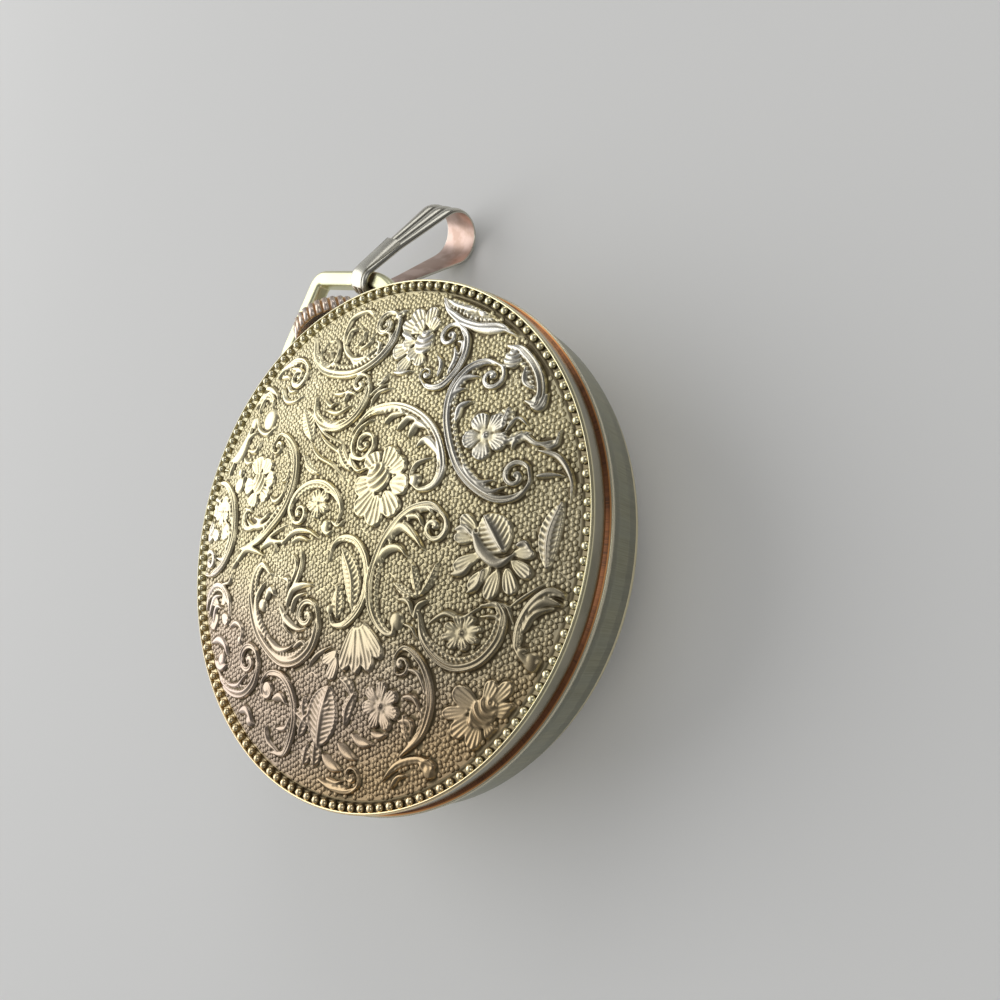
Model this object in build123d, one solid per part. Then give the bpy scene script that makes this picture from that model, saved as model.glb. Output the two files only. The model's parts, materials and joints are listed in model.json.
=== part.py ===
from build123d import *
import os
from math import asin, atan2, cos, degrees, hypot, radians, sin, sqrt

# Pendant watch with a hand-wound lever movement, in millimetres.
# It lies on its crystal: the flat crystal face is z = 0, the embossed back cover is up,
# the crown, bow and bail are at 12 o'clock, along +Y.

# Shared clearances
overrun = 1.0
slip_gap = 0.03
part_gap = 0.05
sheet_gap = 0.1
free_gap = 0.15

# Case heights and radii
bead_height = 10.8
bead_ring_inset = 0.43
bead_radius = 0.4
cover_radius = 18.18
cover_sheet = 0.6
bead_sink = 0.15
cover_dome_rise = 1.5
cover_skirt_drop = 1.5
cover_wall = 0.38
cover_shoulder_round = 0.25
groove_height = 0.3
lip_overhang = 0.3
lip_height = 0.35
lip_bevel = 0.06
band_top_overhang = 0.18
band_taper = 0.11
band_drop = 5.25
case_neck_wall = 0.5
case_neck_height = 0.9
cover_gasket_width = 0.4
case_wall = 1.45
rehaut_width = 1.4
rehaut_sheet = 1.2

# Bezel and crystal
bezel_drop = 3.5
bezel_shoulder_step = 0.2
bezel_shoulder_drop = 0.7
bezel_bevel = 0.3
bezel_front_inset = 1.55
bezel_front_width = 0.95
bezel_snap_wall = 1.05
crystal_shoulder_width = 2.25
crystal_shoulder_height = 1.2
crystal_wall = 1.1
crystal_flange_width = 0.65
crystal_flange_height = 0.6
crystal_gasket_height = 0.4

# Dial and hands
dial_edge_gap = 0.6
dial_sheet = 0.4
marker_length = 1.7
marker_width = 0.35
marker_sheet = 0.12
marker_inset = 2.6
marker_count = 12
minute_hand_gap = 1.4
hour_hand_shortfall = 4.2
hand_sheet = 0.16
hand_width = 0.9
hand_tip_width = 0.25
hand_tail_length = 2.4
hour_hand_turn = 304.0
minute_hand_turn = 51.0
hour_pipe_radius = 0.75
hour_pipe_wall = 0.2
cannon_radius = 0.5
cannon_bore = 0.28
hour_hand_drop = 0.7
minute_hand_drop = 0.45
cannon_tip = 0.25

# Movement plates
movement_radius = 11.8
dial_side_depth = 0.9
plate_sheet = 1.5
train_space = 1.5
bridge_sheet = 0.9
plate_rim_wall = 0.6
bridge_inset = 0.1
pillar_radius = 0.68
cock_sheet = 0.5
cock_width = 2.2
cock_foot_reach = 5.4
cock_boss_radius = 0.95
cock_boss_height = 0.25
pallet_foot_reach = 1.6
pallet_foot_spread = 60.0
pallet_foot_radius = 0.4
movement_ring_height = 3.7
ring_ledge_share = 0.35
ring_ledge_drop = 1.3

# Crown, tube and stem
stem_radius = 0.55
stem_thin_radius = 0.3
stem_square = 0.72
stem_square_start_y = 6.3
stem_pilot_length = 0.4
stem_groove_width = 0.6
stem_thread = 0.3
stem_slot_width = 1.2
tube_radius = 0.9
tube_bore = 0.68
tube_stand = 1.3
crown_lip_gap = 0.17
crown_radius = 3.3
crown_length = 1.25
crown_dome = 0.6
crown_dome_radius = 2.45
crown_rib_count = 32
crown_rib_depth = 0.22
crown_bore = 1.08
crown_bore_depth = 1.3
crown_gasket_inset = 0.13
crown_gasket_width = 0.22
crown_gasket_radius = 1.2
crown_pull = 0.35

# Bow
bow_apex_rise = 6.1
bow_shoulder_x = 6.05
bow_shoulder_rise = 1.26
bow_foot_x = 6.5
bow_wire = 1.35
bow_wire_round = 0.4
bow_apex_bend = 0.9
bow_shoulder_bend = 4.6

# Bail
bail_on_bow_x = 4.55
bail_skew = 10.5
bail_strip = 0.33
bail_neck_radius = 0.95
bail_loop_radius = 2.02
bail_length = 8.4
bail_neck_width = 2.0
bail_loop_width = 3.4
bail_floor_gap = 0.08
bail_taper_start = 3.2
bail_tab_length = 3.4
bail_tab_width = 1.6
bail_tab_lift = 0.33
bail_tab_root = 0.03

# Gearing: teeth and modules
barrel_teeth = 72
centre_leaves = 10
centre_teeth = 80
third_leaves = 10
third_teeth = 75
fourth_leaves = 10
fourth_teeth = 70
escape_leaves = 7
escape_teeth = 15
cannon_leaves = 12
minute_teeth = 36
minute_leaves = 10
hour_teeth = 40
setting_teeth = 16
winding_teeth = 20
crown_wheel_teeth = 24
ratchet_teeth = 40
barrel_module = 0.118
centre_module = 0.102
third_module = 0.098
fourth_module = 0.085
motion_module = 0.12
winding_module = 0.2

# Shares of the module and of the tooth pitch
addendum_share = 0.75
dedendum_share = 1.05
tooth_pitch_share = 0.40
tooth_tip_share = 0.22
tooth_root_share = 0.48
crown_rib_shares = (0.33, 0.17)
escape_tooth_shares = (0.0, 0.5, 0.67, 0.6)
clutch_tooth_share = 0.2
spiral_steps = 24

# Directions of arbors and small pieces, in degrees
third_direction = 20.0
fourth_direction = -75.0
escape_direction = -130.0
pallet_direction = -170.0
balance_direction = -175.0
minute_wheel_direction = 60.0
cock_foot_direction = 180.0
balance_arm_direction = 35.0
regulator_lead = 40.0
pallet_span = 30.0
pallet_draw = 12.0
click_direction = 85.0
click_lead = 28.0
click_side = -1
clamp_directions = (15.0, 200.0)

# Arbors, wheels and springs
arbor_radius = 0.18
pivot_stand = 0.2
pinion_overlap = 0.2
pivot_radius = 0.1
pivot_length = 0.45
jewel_radius = 0.45
jewel_sheet = 0.25
wheel_sheet = 0.15
wheel_rim = 0.55
wheel_hub = 0.75
wheel_arm = 0.4
wheel_arms = 4
barrel_wall = 0.2
barrel_drop = 1.0
barrel_height = 1.75
barrel_tooth_height = 0.4
barrel_arbor_radius = 0.9
barrel_arbor_neck = 0.55
barrel_lid_sheet = 0.2
mainspring_sheet = 0.11
mainspring_turns = 7
escape_radius = 2.5
escape_hub = 0.5
escape_tooth_height = 0.5
pallet_reach = 2.95
pallet_sheet = 0.2
pallet_arm_width = 0.3
pallet_boss = 0.4
pallet_stone = 0.4
pallet_lock_gap = 0.24
fork_reach = 3.15
fork_slot = 0.34
fork_horn = 0.55
balance_reach = 3.9
balance_radius = 4.2
balance_rim = 0.45
balance_rim_height = 0.4
balance_arm = 0.55
balance_hub = 0.7
balance_staff_radius = 0.28
roller_radius = 1.0
roller_sheet = 0.15
impulse_pin_radius = 0.12
impulse_pin_reach = 0.7
hairspring_turns = 9
hairspring_strip = 0.05
hairspring_height = 0.12
hairspring_inner = 0.55
hairspring_outer = 2.4
stud_radius = 0.25
regulator_sheet = 0.18
regulator_band = 0.45
regulator_length = 3.6

# Winding and setting works
ratchet_sheet = 0.33
winding_bite = 0.1
winding_pinion_tooth_width = 0.5
winding_pinion_hub_radius = 1.5
winding_pinion_hub_length = 0.85
winding_pinion_outer_y = 10.4
sliding_pinion_radius = 1.6
sliding_pinion_length = 1.6
sliding_pinion_groove = 0.36
sliding_pinion_groove_radius = 1.0
sliding_groove_inset = 0.7
setting_face_teeth = 14
setting_tooth_length = 0.45
sliding_pinion_shift = 0.8
clutch_teeth = 12
clutch_tooth_height = 0.16
clutch_inner = 0.75
clutch_outer = 1.4
lever_sheet = 0.2
lever_pivot_x = -3.0
lever_pivot_y = 10.6
lever_pin_y = 10.9
lever_pin_radius = 0.2
yoke_pivot_x = 3.8
yoke_pivot_y = 7.7
yoke_tip_x = 0.3
yoke_finger_radius = 0.12
lever_width = 0.6
lever_rim_cut = 4.2
yoke_spring_foot_x = 4.6
yoke_spring_foot_y = 9.8
yoke_spring_tip_x = 1.4
yoke_spring_gap = 0.25
setting_bridge_left_x = -3.2
setting_bridge_left_y = 6.4
setting_bridge_right_x = 2.5
setting_bridge_right_y = 5.7
setting_bridge_width = 0.9
spring_strip = 0.18
post_radius = 0.3
screw_head_radius = 0.75
screw_head_height = 0.3
screw_shank_radius = 0.35
screw_slot_width = 0.18
screw_slot_depth = 0.14
screw_shank_length = 1.2
arbor_square = 0.75
ratchet_screw_head = 0.9
ratchet_screw_shank = 0.25
crown_wheel_core = 0.8
crown_wheel_lip = 0.3
crown_wheel_head = 0.2
click_stand = 1.1
click_boss = 0.5
click_spring_gap = 0.36
click_length = 1.9
click_width = 0.7
click_sheet = 0.25
click_swing = 9.0
clamp_width = 1.6
clamp_sheet = 0.25
clamp_screw_radius = 11.0

# Shapes of the bridges: directions in degrees, and shares of the movement radius
wide_share = 1.1
barrel_bridge_arc = (62, 191, 7)
train_bridge_arc = (-68, 56, 4)
barrel_bridge_inner_shares = (
    (-0.72, -0.161), (-0.424, -0.085), (-0.229, -0.093), (-0.068, -0.102), (0.102, -0.102), (0.153, 0.042),
)
train_bridge_inner_shares = ((0.22, 0.085), (0.203, -0.136), (0.195, -0.288), (0.203, -0.508))
barrel_pillar_shares = ((66.0, 0.898), (108.0, 0.873), (178.0, 0.932))
train_pillar_shares = ((40.0, 0.915), (-12.0, 0.924), (-58.0, 0.898))

# Radii worked out from the cover outwards and inwards
bead_ring_radius = cover_radius - bead_ring_inset
lip_radius = cover_radius + lip_overhang
band_top_radius = cover_radius + band_top_overhang
band_radius = band_top_radius - band_taper
case_inner_radius = band_radius - case_wall
rehaut_radius = case_inner_radius - rehaut_width
bezel_shoulder_radius = band_radius - bezel_shoulder_step
bezel_front_radius = bezel_shoulder_radius - bezel_front_inset
bezel_inner_radius = bezel_front_radius - bezel_front_width
bezel_snap_radius = band_radius - bezel_snap_wall
crystal_radius = bezel_inner_radius - sheet_gap
crystal_flat_radius = crystal_radius - crystal_shoulder_width
crystal_flange_radius = crystal_radius + crystal_flange_width
dial_radius = case_inner_radius - dial_edge_gap
marker_radius = dial_radius - marker_inset
minute_hand_length = marker_radius - minute_hand_gap
hour_hand_length = minute_hand_length - hour_hand_shortfall
ring_outer_radius = case_inner_radius - part_gap
ring_inner_radius = movement_radius + part_gap
ring_ledge_width = ring_ledge_share * (ring_outer_radius - ring_inner_radius)

# Places on the rim at 12 o'clock
tube_start_y = case_inner_radius + free_gap
tube_end_y = lip_radius + tube_stand
crown_inner_y = lip_radius + crown_lip_gap
bow_apex_reach = lip_radius + bow_apex_rise
bow_shoulder_y = lip_radius + bow_shoulder_rise
bow_foot_y = case_inner_radius + sheet_gap

# Heights worked out from the table up
band_bottom = bead_height - band_drop
cover_edge = bead_height - cover_skirt_drop
band_top = cover_edge - groove_height
axis_height = band_top - lip_height - tube_radius
bezel_front = band_bottom - bezel_drop
dial_back = band_bottom
dial_front = dial_back - dial_sheet
rehaut_low = dial_front - rehaut_sheet
crystal_flange_high = rehaut_low - crystal_gasket_height
crystal_flange_low = crystal_flange_high - crystal_flange_height
plate_bottom = dial_back + dial_side_depth
plate_top = plate_bottom + plate_sheet
bridge_bottom = plate_top + train_space
bridge_top = bridge_bottom + bridge_sheet
hour_hand_low = dial_front - hour_hand_drop
minute_hand_low = hour_hand_low - minute_hand_drop
cover_inner_radius = cover_radius - cover_wall
case_neck_radius = cover_inner_radius - slip_gap
case_neck_top = band_top + case_neck_height
cover_rim_low = bead_height - cover_sheet
winding_pinion_radius = (winding_teeth / 2 + addendum_share) * winding_module
ratchet_low = axis_height + winding_pinion_radius - winding_bite
ratchet_high = ratchet_low + ratchet_sheet
recess_floor = ratchet_low - part_gap


def polar(radius, direction, start=(0, 0)):
    angle = radians(direction)
    return (start[0] + radius * cos(angle), start[1] + radius * sin(angle))


def movement_place(direction, share):
    return polar(share * movement_radius, direction)


def direction_between(start, end):
    return degrees(atan2(end[1] - start[1], end[0] - start[0]))


def rod(radius, low, high, at=(0, 0)):
    base = (Align.CENTER, Align.CENTER, Align.MIN)
    return Pos(at[0], at[1], low) * Cylinder(radius, high - low, align=base)


def tube(outer, inner, low, high, at=(0, 0)):
    return rod(outer, low, high, at) - rod(inner, low - overrun, high + overrun, at)


def rod_along_y(radius, start, end, x=0, z=None):
    base = (Align.CENTER, Align.CENTER, Align.MIN)
    height = axis_height if z is None else z
    return Pos(x, start, height) * Rot(-90, 0, 0) * Cylinder(radius, end - start, align=base)


def turned(points):
    outline = make_face(Plane.XZ * Polyline(*points, close=True))
    return revolve(outline, Axis.Z)


def slab(points, low, high):
    return Pos(0, 0, low) * extrude(make_face(Polyline(*points, close=True)), high - low)


def block(low_corner, high_corner):
    size = [high - low for low, high in zip(low_corner, high_corner)]
    base = (Align.MIN, Align.MIN, Align.MIN)
    return Pos(*low_corner) * Box(*size, align=base)


def bar(start, end, width, low, high):
    length = hypot(end[0] - start[0], end[1] - start[1])
    base = (Align.MIN, Align.CENTER, Align.MIN)
    turn = Rot(0, 0, direction_between(start, end))
    return Pos(start[0], start[1], low) * turn * Box(length, width, high - low, align=base)


def tooth_points(teeth, module, phase):
    pitch_radius = teeth * module / 2
    tip = pitch_radius + addendum_share * module
    root = pitch_radius - dedendum_share * module
    pitch = 360 / teeth
    flank = ((root, tooth_root_share), (pitch_radius, tooth_pitch_share), (tip, tooth_tip_share))
    points = []
    for index in range(teeth):
        middle = phase + index * pitch
        points += [(radius, middle - share * pitch / 2) for radius, share in flank]
        points += [(radius, middle + share * pitch / 2) for radius, share in flank[::-1]]
    return points


def gear(teeth, module, low, high, at=(0, 0), phase=0):
    outline = [polar(radius, angle, at) for radius, angle in tooth_points(teeth, module, phase)]
    return slab(outline, low, high)


def meshing_phase(start, end, phase, teeth, other_teeth):
    line = direction_between(start, end)
    return line + 180 + 180 / other_teeth - (phase - line) * teeth / other_teeth


def centre_distance(teeth, other_teeth, module):
    return (teeth + other_teeth) * module / 2


def spoked(solid, outer, hub, arm, count, at, low, high, phase=0):
    windows = tube(outer, hub, low - overrun, high + overrun, at)
    for index in range(count):
        end = polar(outer + overrun, phase + index * 360 / count, at)
        windows -= bar(at, end, arm, low - overrun, high + overrun)
    return solid - windows


def spiral_strip(inner, outer, turns, thickness, low, high, at):
    total = turns * spiral_steps
    near_side = []
    far_side = []
    for index in range(total + 1):
        share = index / total
        radius = inner + (outer - inner) * share
        angle = 360 * turns * share
        near_side.append(polar(radius, angle, at))
        far_side.append(polar(radius + thickness, angle, at))
    return slab(near_side + far_side[::-1], low, high)


def screw(at, seat, shank_end):
    head = rod(screw_head_radius, seat, seat + screw_head_height, at)
    slot_low = seat + screw_head_height - screw_slot_depth
    half = screw_slot_width / 2
    reach = screw_head_radius + overrun
    x, y = at
    head -= block((x - reach, y - half, slot_low), (x + reach, y + half, slot_low + overrun))
    return head + rod(screw_shank_radius, shank_end, seat, at)


def screw_hole(at, low, high):
    return rod(screw_shank_radius, low, high, at)


def group(solids):
    return Compound(children=[part for solid in solids for part in solid.solids()])


# Places of the arbors
barrel_distance = centre_distance(barrel_teeth, centre_leaves, barrel_module)
winding_distance = centre_distance(crown_wheel_teeth, ratchet_teeth, winding_module)
winding_tooth_start_y = winding_pinion_outer_y - winding_pinion_tooth_width
winding_hub_start_y = winding_tooth_start_y - winding_pinion_hub_length
crown_wheel_root = (crown_wheel_teeth / 2 - dedendum_share) * winding_module
crown_wheel_tip = (crown_wheel_teeth / 2 + addendum_share) * winding_module
ratchet_tip = (ratchet_teeth / 2 + addendum_share) * winding_module
crown_wheel_at = (0, winding_tooth_start_y - part_gap - crown_wheel_root)
barrel_y = (barrel_distance**2 - winding_distance**2 + crown_wheel_at[1]**2) / (2 * crown_wheel_at[1])
barrel_at = (-sqrt(barrel_distance**2 - barrel_y**2), barrel_y)
centre_at = (0, 0)
third_at = polar(centre_distance(centre_teeth, third_leaves, centre_module), third_direction)
fourth_at = polar(centre_distance(third_teeth, fourth_leaves, third_module), fourth_direction, third_at)
escape_at = polar(centre_distance(fourth_teeth, escape_leaves, fourth_module), escape_direction, fourth_at)
pallet_at = polar(pallet_reach, pallet_direction, escape_at)
balance_at = polar(balance_reach, balance_direction, pallet_at)
motion_distance = centre_distance(cannon_leaves, minute_teeth, motion_module)
hour_module = 2 * motion_distance / (minute_leaves + hour_teeth)
minute_wheel_at = polar(motion_distance, minute_wheel_direction)
setting_distance = centre_distance(minute_teeth, setting_teeth, motion_module)
setting_at = (0, minute_wheel_at[1] + sqrt(setting_distance**2 - minute_wheel_at[0]**2))

# Heights inside the train
barrel_low = plate_top - barrel_drop
barrel_high = barrel_low + barrel_height
third_low = plate_top + 2 * free_gap
fourth_low = third_low + wheel_sheet + free_gap
centre_low = barrel_high + free_gap
escape_low = third_low
balance_low = centre_low + wheel_sheet + free_gap
balance_high = balance_low + balance_rim_height
pallet_high = escape_low + pallet_sheet
pallet_bridge_low = pallet_high + part_gap
pallet_bridge_high = pallet_bridge_low + pallet_sheet
roller_low = pallet_bridge_high - free_gap
cock_low = balance_high + hairspring_height + 2 * free_gap
cock_high = cock_low + cock_sheet

# Heights on the dial side
hour_wheel_low = dial_back + sheet_gap
hour_wheel_high = hour_wheel_low + wheel_sheet
minute_wheel_high = plate_bottom - free_gap
minute_wheel_low = minute_wheel_high - wheel_sheet
cannon_top = plate_bottom - part_gap
lever_low = dial_back + sheet_gap
lever_high = lever_low + lever_sheet
yoke_low = lever_high + part_gap
yoke_high = yoke_low + lever_sheet

# Phases that put the teeth in mesh at rest
centre_pinion_phase = meshing_phase(barrel_at, centre_at, 0, barrel_teeth, centre_leaves)
third_pinion_phase = meshing_phase(centre_at, third_at, 0, centre_teeth, third_leaves)
fourth_pinion_phase = meshing_phase(third_at, fourth_at, 0, third_teeth, fourth_leaves)
escape_pinion_phase = meshing_phase(fourth_at, escape_at, 0, fourth_teeth, escape_leaves)
minute_wheel_phase = meshing_phase(centre_at, minute_wheel_at, 0, cannon_leaves, minute_teeth)
hour_wheel_phase = meshing_phase(minute_wheel_at, centre_at, 0, minute_leaves, hour_teeth)
setting_phase = meshing_phase(minute_wheel_at, setting_at, minute_wheel_phase, minute_teeth, setting_teeth)
crown_wheel_phase = 90 + 180 / crown_wheel_teeth
ratchet_phase = meshing_phase(crown_wheel_at, barrel_at, crown_wheel_phase, crown_wheel_teeth, ratchet_teeth)

# Pillars and screws of the bridges, as directions and shares of the movement radius
barrel_bridge_pillars = [movement_place(angle, share) for angle, share in barrel_pillar_shares]
train_bridge_pillars = [movement_place(angle, share) for angle, share in train_pillar_shares]
cock_foot_at = polar(cock_foot_reach, cock_foot_direction, balance_at)


# The case

def back_cover():
    dome_edge = bead_ring_radius - bead_radius
    dome_top = bead_height + cover_dome_rise
    dome_radius = (dome_edge**2 + cover_dome_rise**2) / (2 * cover_dome_rise)
    half_angle = asin(dome_edge / dome_radius) / 2
    mid_r = dome_radius * sin(half_angle)
    mid_z = dome_top - dome_radius * (1 - cos(half_angle))
    shoulder_low = bead_height - cover_shoulder_round
    outline = [
        ThreePointArc((0, dome_top), (mid_r, mid_z), (dome_edge, bead_height)),
        Line((dome_edge, bead_height), (cover_radius - cover_shoulder_round, bead_height)),
        Line((cover_radius - cover_shoulder_round, bead_height), (cover_radius, shoulder_low)),
        Line((cover_radius, shoulder_low), (cover_radius, cover_edge)),
        Line((cover_radius, cover_edge), (cover_inner_radius, cover_edge)),
        Line((cover_inner_radius, cover_edge), (cover_inner_radius, cover_rim_low)),
        Line((cover_inner_radius, cover_rim_low), (dome_edge, cover_rim_low)),
        ThreePointArc((dome_edge, cover_rim_low), (mid_r, mid_z - cover_sheet), (0, dome_top - cover_sheet)),
        Line((0, dome_top - cover_sheet), (0, dome_top)),
    ]
    shell = revolve(make_face(Plane.XZ * Curve(children=outline)), Axis.Z)
    beads = Pos(0, 0, bead_height - bead_sink) * Torus(bead_ring_radius, bead_radius)
    return shell + beads


def cover_gasket():
    inner = case_neck_radius - case_neck_wall
    return tube(inner + cover_gasket_width, inner, case_neck_top, cover_rim_low - slip_gap)


def case_middle():
    neck_inner = case_neck_radius - case_neck_wall
    body = turned([
        (band_radius, band_bottom),
        (band_top_radius, band_top - lip_height),
        (lip_radius, band_top - lip_height + lip_bevel),
        (lip_radius, band_top - lip_bevel),
        (lip_radius - lip_bevel, band_top),
        (case_neck_radius, band_top),
        (case_neck_radius, case_neck_top),
        (neck_inner, case_neck_top),
        (neck_inner, band_top),
        (case_inner_radius, band_top),
        (case_inner_radius, dial_front),
        (rehaut_radius, dial_front),
        (rehaut_radius, rehaut_low),
        (bezel_snap_radius, rehaut_low),
        (bezel_snap_radius, band_bottom),
    ])
    return body - rod_along_y(tube_radius, 0, lip_radius + overrun)


def bezel():
    return turned([
        (bezel_shoulder_radius - bezel_bevel, band_bottom),
        (bezel_shoulder_radius, band_bottom - bezel_bevel),
        (bezel_shoulder_radius, band_bottom - bezel_shoulder_drop),
        (bezel_front_radius + bezel_bevel, bezel_front + bezel_bevel),
        (bezel_front_radius, bezel_front),
        (bezel_inner_radius, bezel_front),
        (bezel_inner_radius, crystal_flange_low),
        (crystal_flange_radius + slip_gap, crystal_flange_low),
        (crystal_flange_radius + slip_gap, rehaut_low),
        (bezel_snap_radius, rehaut_low),
        (bezel_snap_radius, band_bottom),
    ])


def crystal():
    inner = crystal_radius - crystal_wall
    inner_flat = crystal_flat_radius - crystal_wall
    outline = [
        Line((0, 0), (crystal_flat_radius, 0)),
        TangentArc((crystal_flat_radius, 0), (crystal_radius, crystal_shoulder_height), tangent=(1, 0)),
        Line((crystal_radius, crystal_shoulder_height), (crystal_radius, crystal_flange_low)),
        Line((crystal_radius, crystal_flange_low), (crystal_flange_radius, crystal_flange_low)),
        Line((crystal_flange_radius, crystal_flange_low), (crystal_flange_radius, crystal_flange_high)),
        Line((crystal_flange_radius, crystal_flange_high), (inner, crystal_flange_high)),
        Line((inner, crystal_flange_high), (inner, crystal_shoulder_height + crystal_wall)),
        Line((inner, crystal_shoulder_height + crystal_wall), (inner_flat, crystal_wall)),
        Line((inner_flat, crystal_wall), (0, crystal_wall)),
        Line((0, crystal_wall), (0, 0)),
    ]
    return revolve(make_face(Plane.XZ * Curve(children=outline)), Axis.Z)


def crystal_gasket():
    return tube(crystal_flange_radius, rehaut_radius, crystal_flange_high, rehaut_low)


def movement_ring():
    ledge = ring_inner_radius + ring_ledge_width
    top = plate_top + ring_ledge_drop
    body = turned([
        (ring_inner_radius, dial_back), (ring_outer_radius, dial_back), (ring_outer_radius, top),
        (ledge, top), (ledge, plate_top), (ring_inner_radius, plate_top),
    ])
    slot_half = stem_slot_width / 2
    slot_end = ring_inner_radius + ring_ledge_width / 2
    body -= block((-slot_half, 0, dial_back - overrun), (slot_half, slot_end, plate_top + overrun))
    return body - rod_along_y(tube_bore, 0, case_inner_radius + overrun)


def crown_tube():
    return rod_along_y(tube_radius, tube_start_y, tube_end_y) - rod_along_y(
        tube_bore, tube_start_y - overrun, tube_end_y + overrun)


def bow():
    path = FilletPolyline(
        (-bow_foot_x, bow_foot_y), (-bow_shoulder_x, bow_shoulder_y), (0, bow_apex_reach),
        (bow_shoulder_x, bow_shoulder_y), (bow_foot_x, bow_foot_y),
        radius=[bow_shoulder_bend, bow_apex_bend, bow_shoulder_bend],
    )
    section = Plane(origin=path @ 0, z_dir=path % 0) * RectangleRounded(bow_wire, bow_wire, bow_wire_round)
    return Pos(0, 0, axis_height) * sweep(section, path=path) - case_middle()


def bail_plane():
    slope = (bow_shoulder_y - bow_apex_reach) / bow_shoulder_x
    wire_y = bow_apex_reach + bail_on_bow_x * slope
    skewed = radians(degrees(atan2(slope, 1)) - bail_skew)
    across = (cos(skewed), sin(skewed), 0)
    drop = asin((axis_height - bail_loop_radius - bail_strip - bail_floor_gap) / bail_length)
    along = (-sin(skewed) * cos(drop), cos(skewed) * cos(drop), -sin(drop))
    return Plane(origin=(bail_on_bow_x, wire_y, axis_height), x_dir=along, z_dir=across)


def teardrop(neck_radius, loop_radius):
    circles = Circle(neck_radius).edges() + (Pos(bail_length, 0, 0) * Circle(loop_radius)).edges()
    return make_hull(circles)


def bail():
    neck = bail_neck_radius + bail_strip
    loop = bail_loop_radius + bail_strip
    far = bail_length + loop + overrun
    ring = teardrop(neck, loop) - teardrop(bail_neck_radius, bail_loop_radius)
    leaf = Pos(0, 0, -bail_loop_width) * extrude(ring, 2 * bail_loop_width)
    half_neck = bail_neck_width / 2
    half_loop = bail_loop_width / 2
    plan = Plane.XZ * Polyline(
        (-neck - overrun, -half_neck), (bail_taper_start, -half_neck),
        (bail_length, -half_loop), (far, -half_loop), (far, half_loop), (bail_length, half_loop),
        (bail_taper_start, half_neck), (-neck - overrun, half_neck),
        close=True,
    )
    leaf = leaf & extrude(make_face(plan), loop + overrun, both=True)
    tab_rise = bail_tab_lift * bail_length / bail_tab_length
    outer = teardrop(neck + bail_tab_root, loop + tab_rise) - teardrop(neck, loop)
    half_tab = bail_tab_width / 2
    tab = Pos(0, 0, -half_tab) * extrude(outer, bail_tab_width)
    tab = tab & block((-neck - overrun, 0, -half_tab), (bail_tab_length, loop + overrun, half_tab))
    return bail_plane() * (leaf + tab)


# The crown and its stem

def crown():
    shoulder_y = crown_inner_y + crown_length
    end_y = shoulder_y + crown_dome
    root = crown_radius - crown_rib_depth
    outline = []
    step = 360 / crown_rib_count
    foot, top = crown_rib_shares
    for index in range(crown_rib_count):
        for radius, share in ((root, -foot), (crown_radius, -top), (crown_radius, top), (root, foot)):
            outline.append(polar(radius, (index + share) * step))
    ribs = slab(outline, crown_inner_y, end_y)
    dome = turned([
        (0, crown_inner_y), (root, crown_inner_y), (crown_radius, crown_inner_y + crown_rib_depth),
        (crown_radius, shoulder_y), (crown_dome_radius, end_y), (0, end_y),
    ])
    body = ribs & dome
    bore_end = crown_inner_y + crown_bore_depth
    body -= rod(crown_bore, crown_inner_y - overrun, bore_end)
    groove_low = crown_inner_y + crown_gasket_inset - slip_gap
    groove_high = crown_inner_y + crown_gasket_inset + crown_gasket_width + slip_gap
    body -= rod(crown_gasket_radius + slip_gap, groove_low, groove_high)
    body -= rod(stem_radius, bore_end - overrun, bore_end + stem_thread)
    return Pos(0, 0, axis_height) * Rot(-90, 0, 0) * body


def crown_gasket():
    start = crown_inner_y + crown_gasket_inset
    end = start + crown_gasket_width
    return rod_along_y(crown_gasket_radius, start, end) - rod_along_y(
        tube_radius + slip_gap, start - overrun, end + overrun)


def stem():
    end_y = crown_inner_y + crown_bore_depth + stem_thread
    body = rod_along_y(stem_radius, winding_hub_start_y, end_y)
    groove_start = lever_pin_y - stem_groove_width / 2
    body -= rod_along_y(stem_radius + overrun, groove_start, groove_start + stem_groove_width)
    body += rod_along_y(stem_thin_radius, groove_start, groove_start + stem_groove_width)
    half = stem_square / 2
    body += block(
        (-half, stem_square_start_y, axis_height - half),
        (half, winding_hub_start_y, axis_height + half),
    )
    return body + rod_along_y(stem_thin_radius, stem_square_start_y - stem_pilot_length, stem_square_start_y)


# The dial and hands

def dial():
    return rod(dial_radius, dial_front, dial_back) - rod(
        hour_pipe_radius + sheet_gap, dial_front - overrun, dial_back + overrun)


def hour_markers():
    solids = []
    for index in range(marker_count):
        direction = index * 360 / marker_count
        start = polar(marker_radius - marker_length, direction)
        end = polar(marker_radius, direction)
        solids.append(bar(start, end, marker_width, dial_front - marker_sheet, dial_front))
    return group(solids)


def hand(length, bore, low):
    high = low + hand_sheet
    half = hand_width / 2
    half_tip = hand_tip_width / 2
    blade = slab([
        (-half, 0), (-half_tip, length), (half_tip, length),
        (half, 0), (half_tip, -hand_tail_length), (-half_tip, -hand_tail_length),
    ], low, high)
    return blade + rod(bore + hand_width / 2, low, high) - rod(bore, low - overrun, high + overrun)


def hour_hand():
    return Rot(0, 0, hour_hand_turn) * hand(hour_hand_length, hour_pipe_radius, hour_hand_low)


def minute_hand():
    return Rot(0, 0, minute_hand_turn) * hand(minute_hand_length, cannon_radius, minute_hand_low)


def cannon_pinion():
    low = minute_hand_low - cannon_tip
    body = rod(cannon_radius, low, cannon_top)
    body += gear(cannon_leaves, motion_module, minute_wheel_low, cannon_top)
    return body - rod(cannon_bore, low - overrun, cannon_top + overrun)


def hour_wheel():
    body = gear(hour_teeth, hour_module, hour_wheel_low, hour_wheel_high, phase=hour_wheel_phase)
    body += rod(hour_pipe_radius, hour_hand_low, minute_wheel_low - part_gap)
    return body - rod(cannon_radius + slip_gap, hour_hand_low - overrun, plate_bottom)


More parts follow.
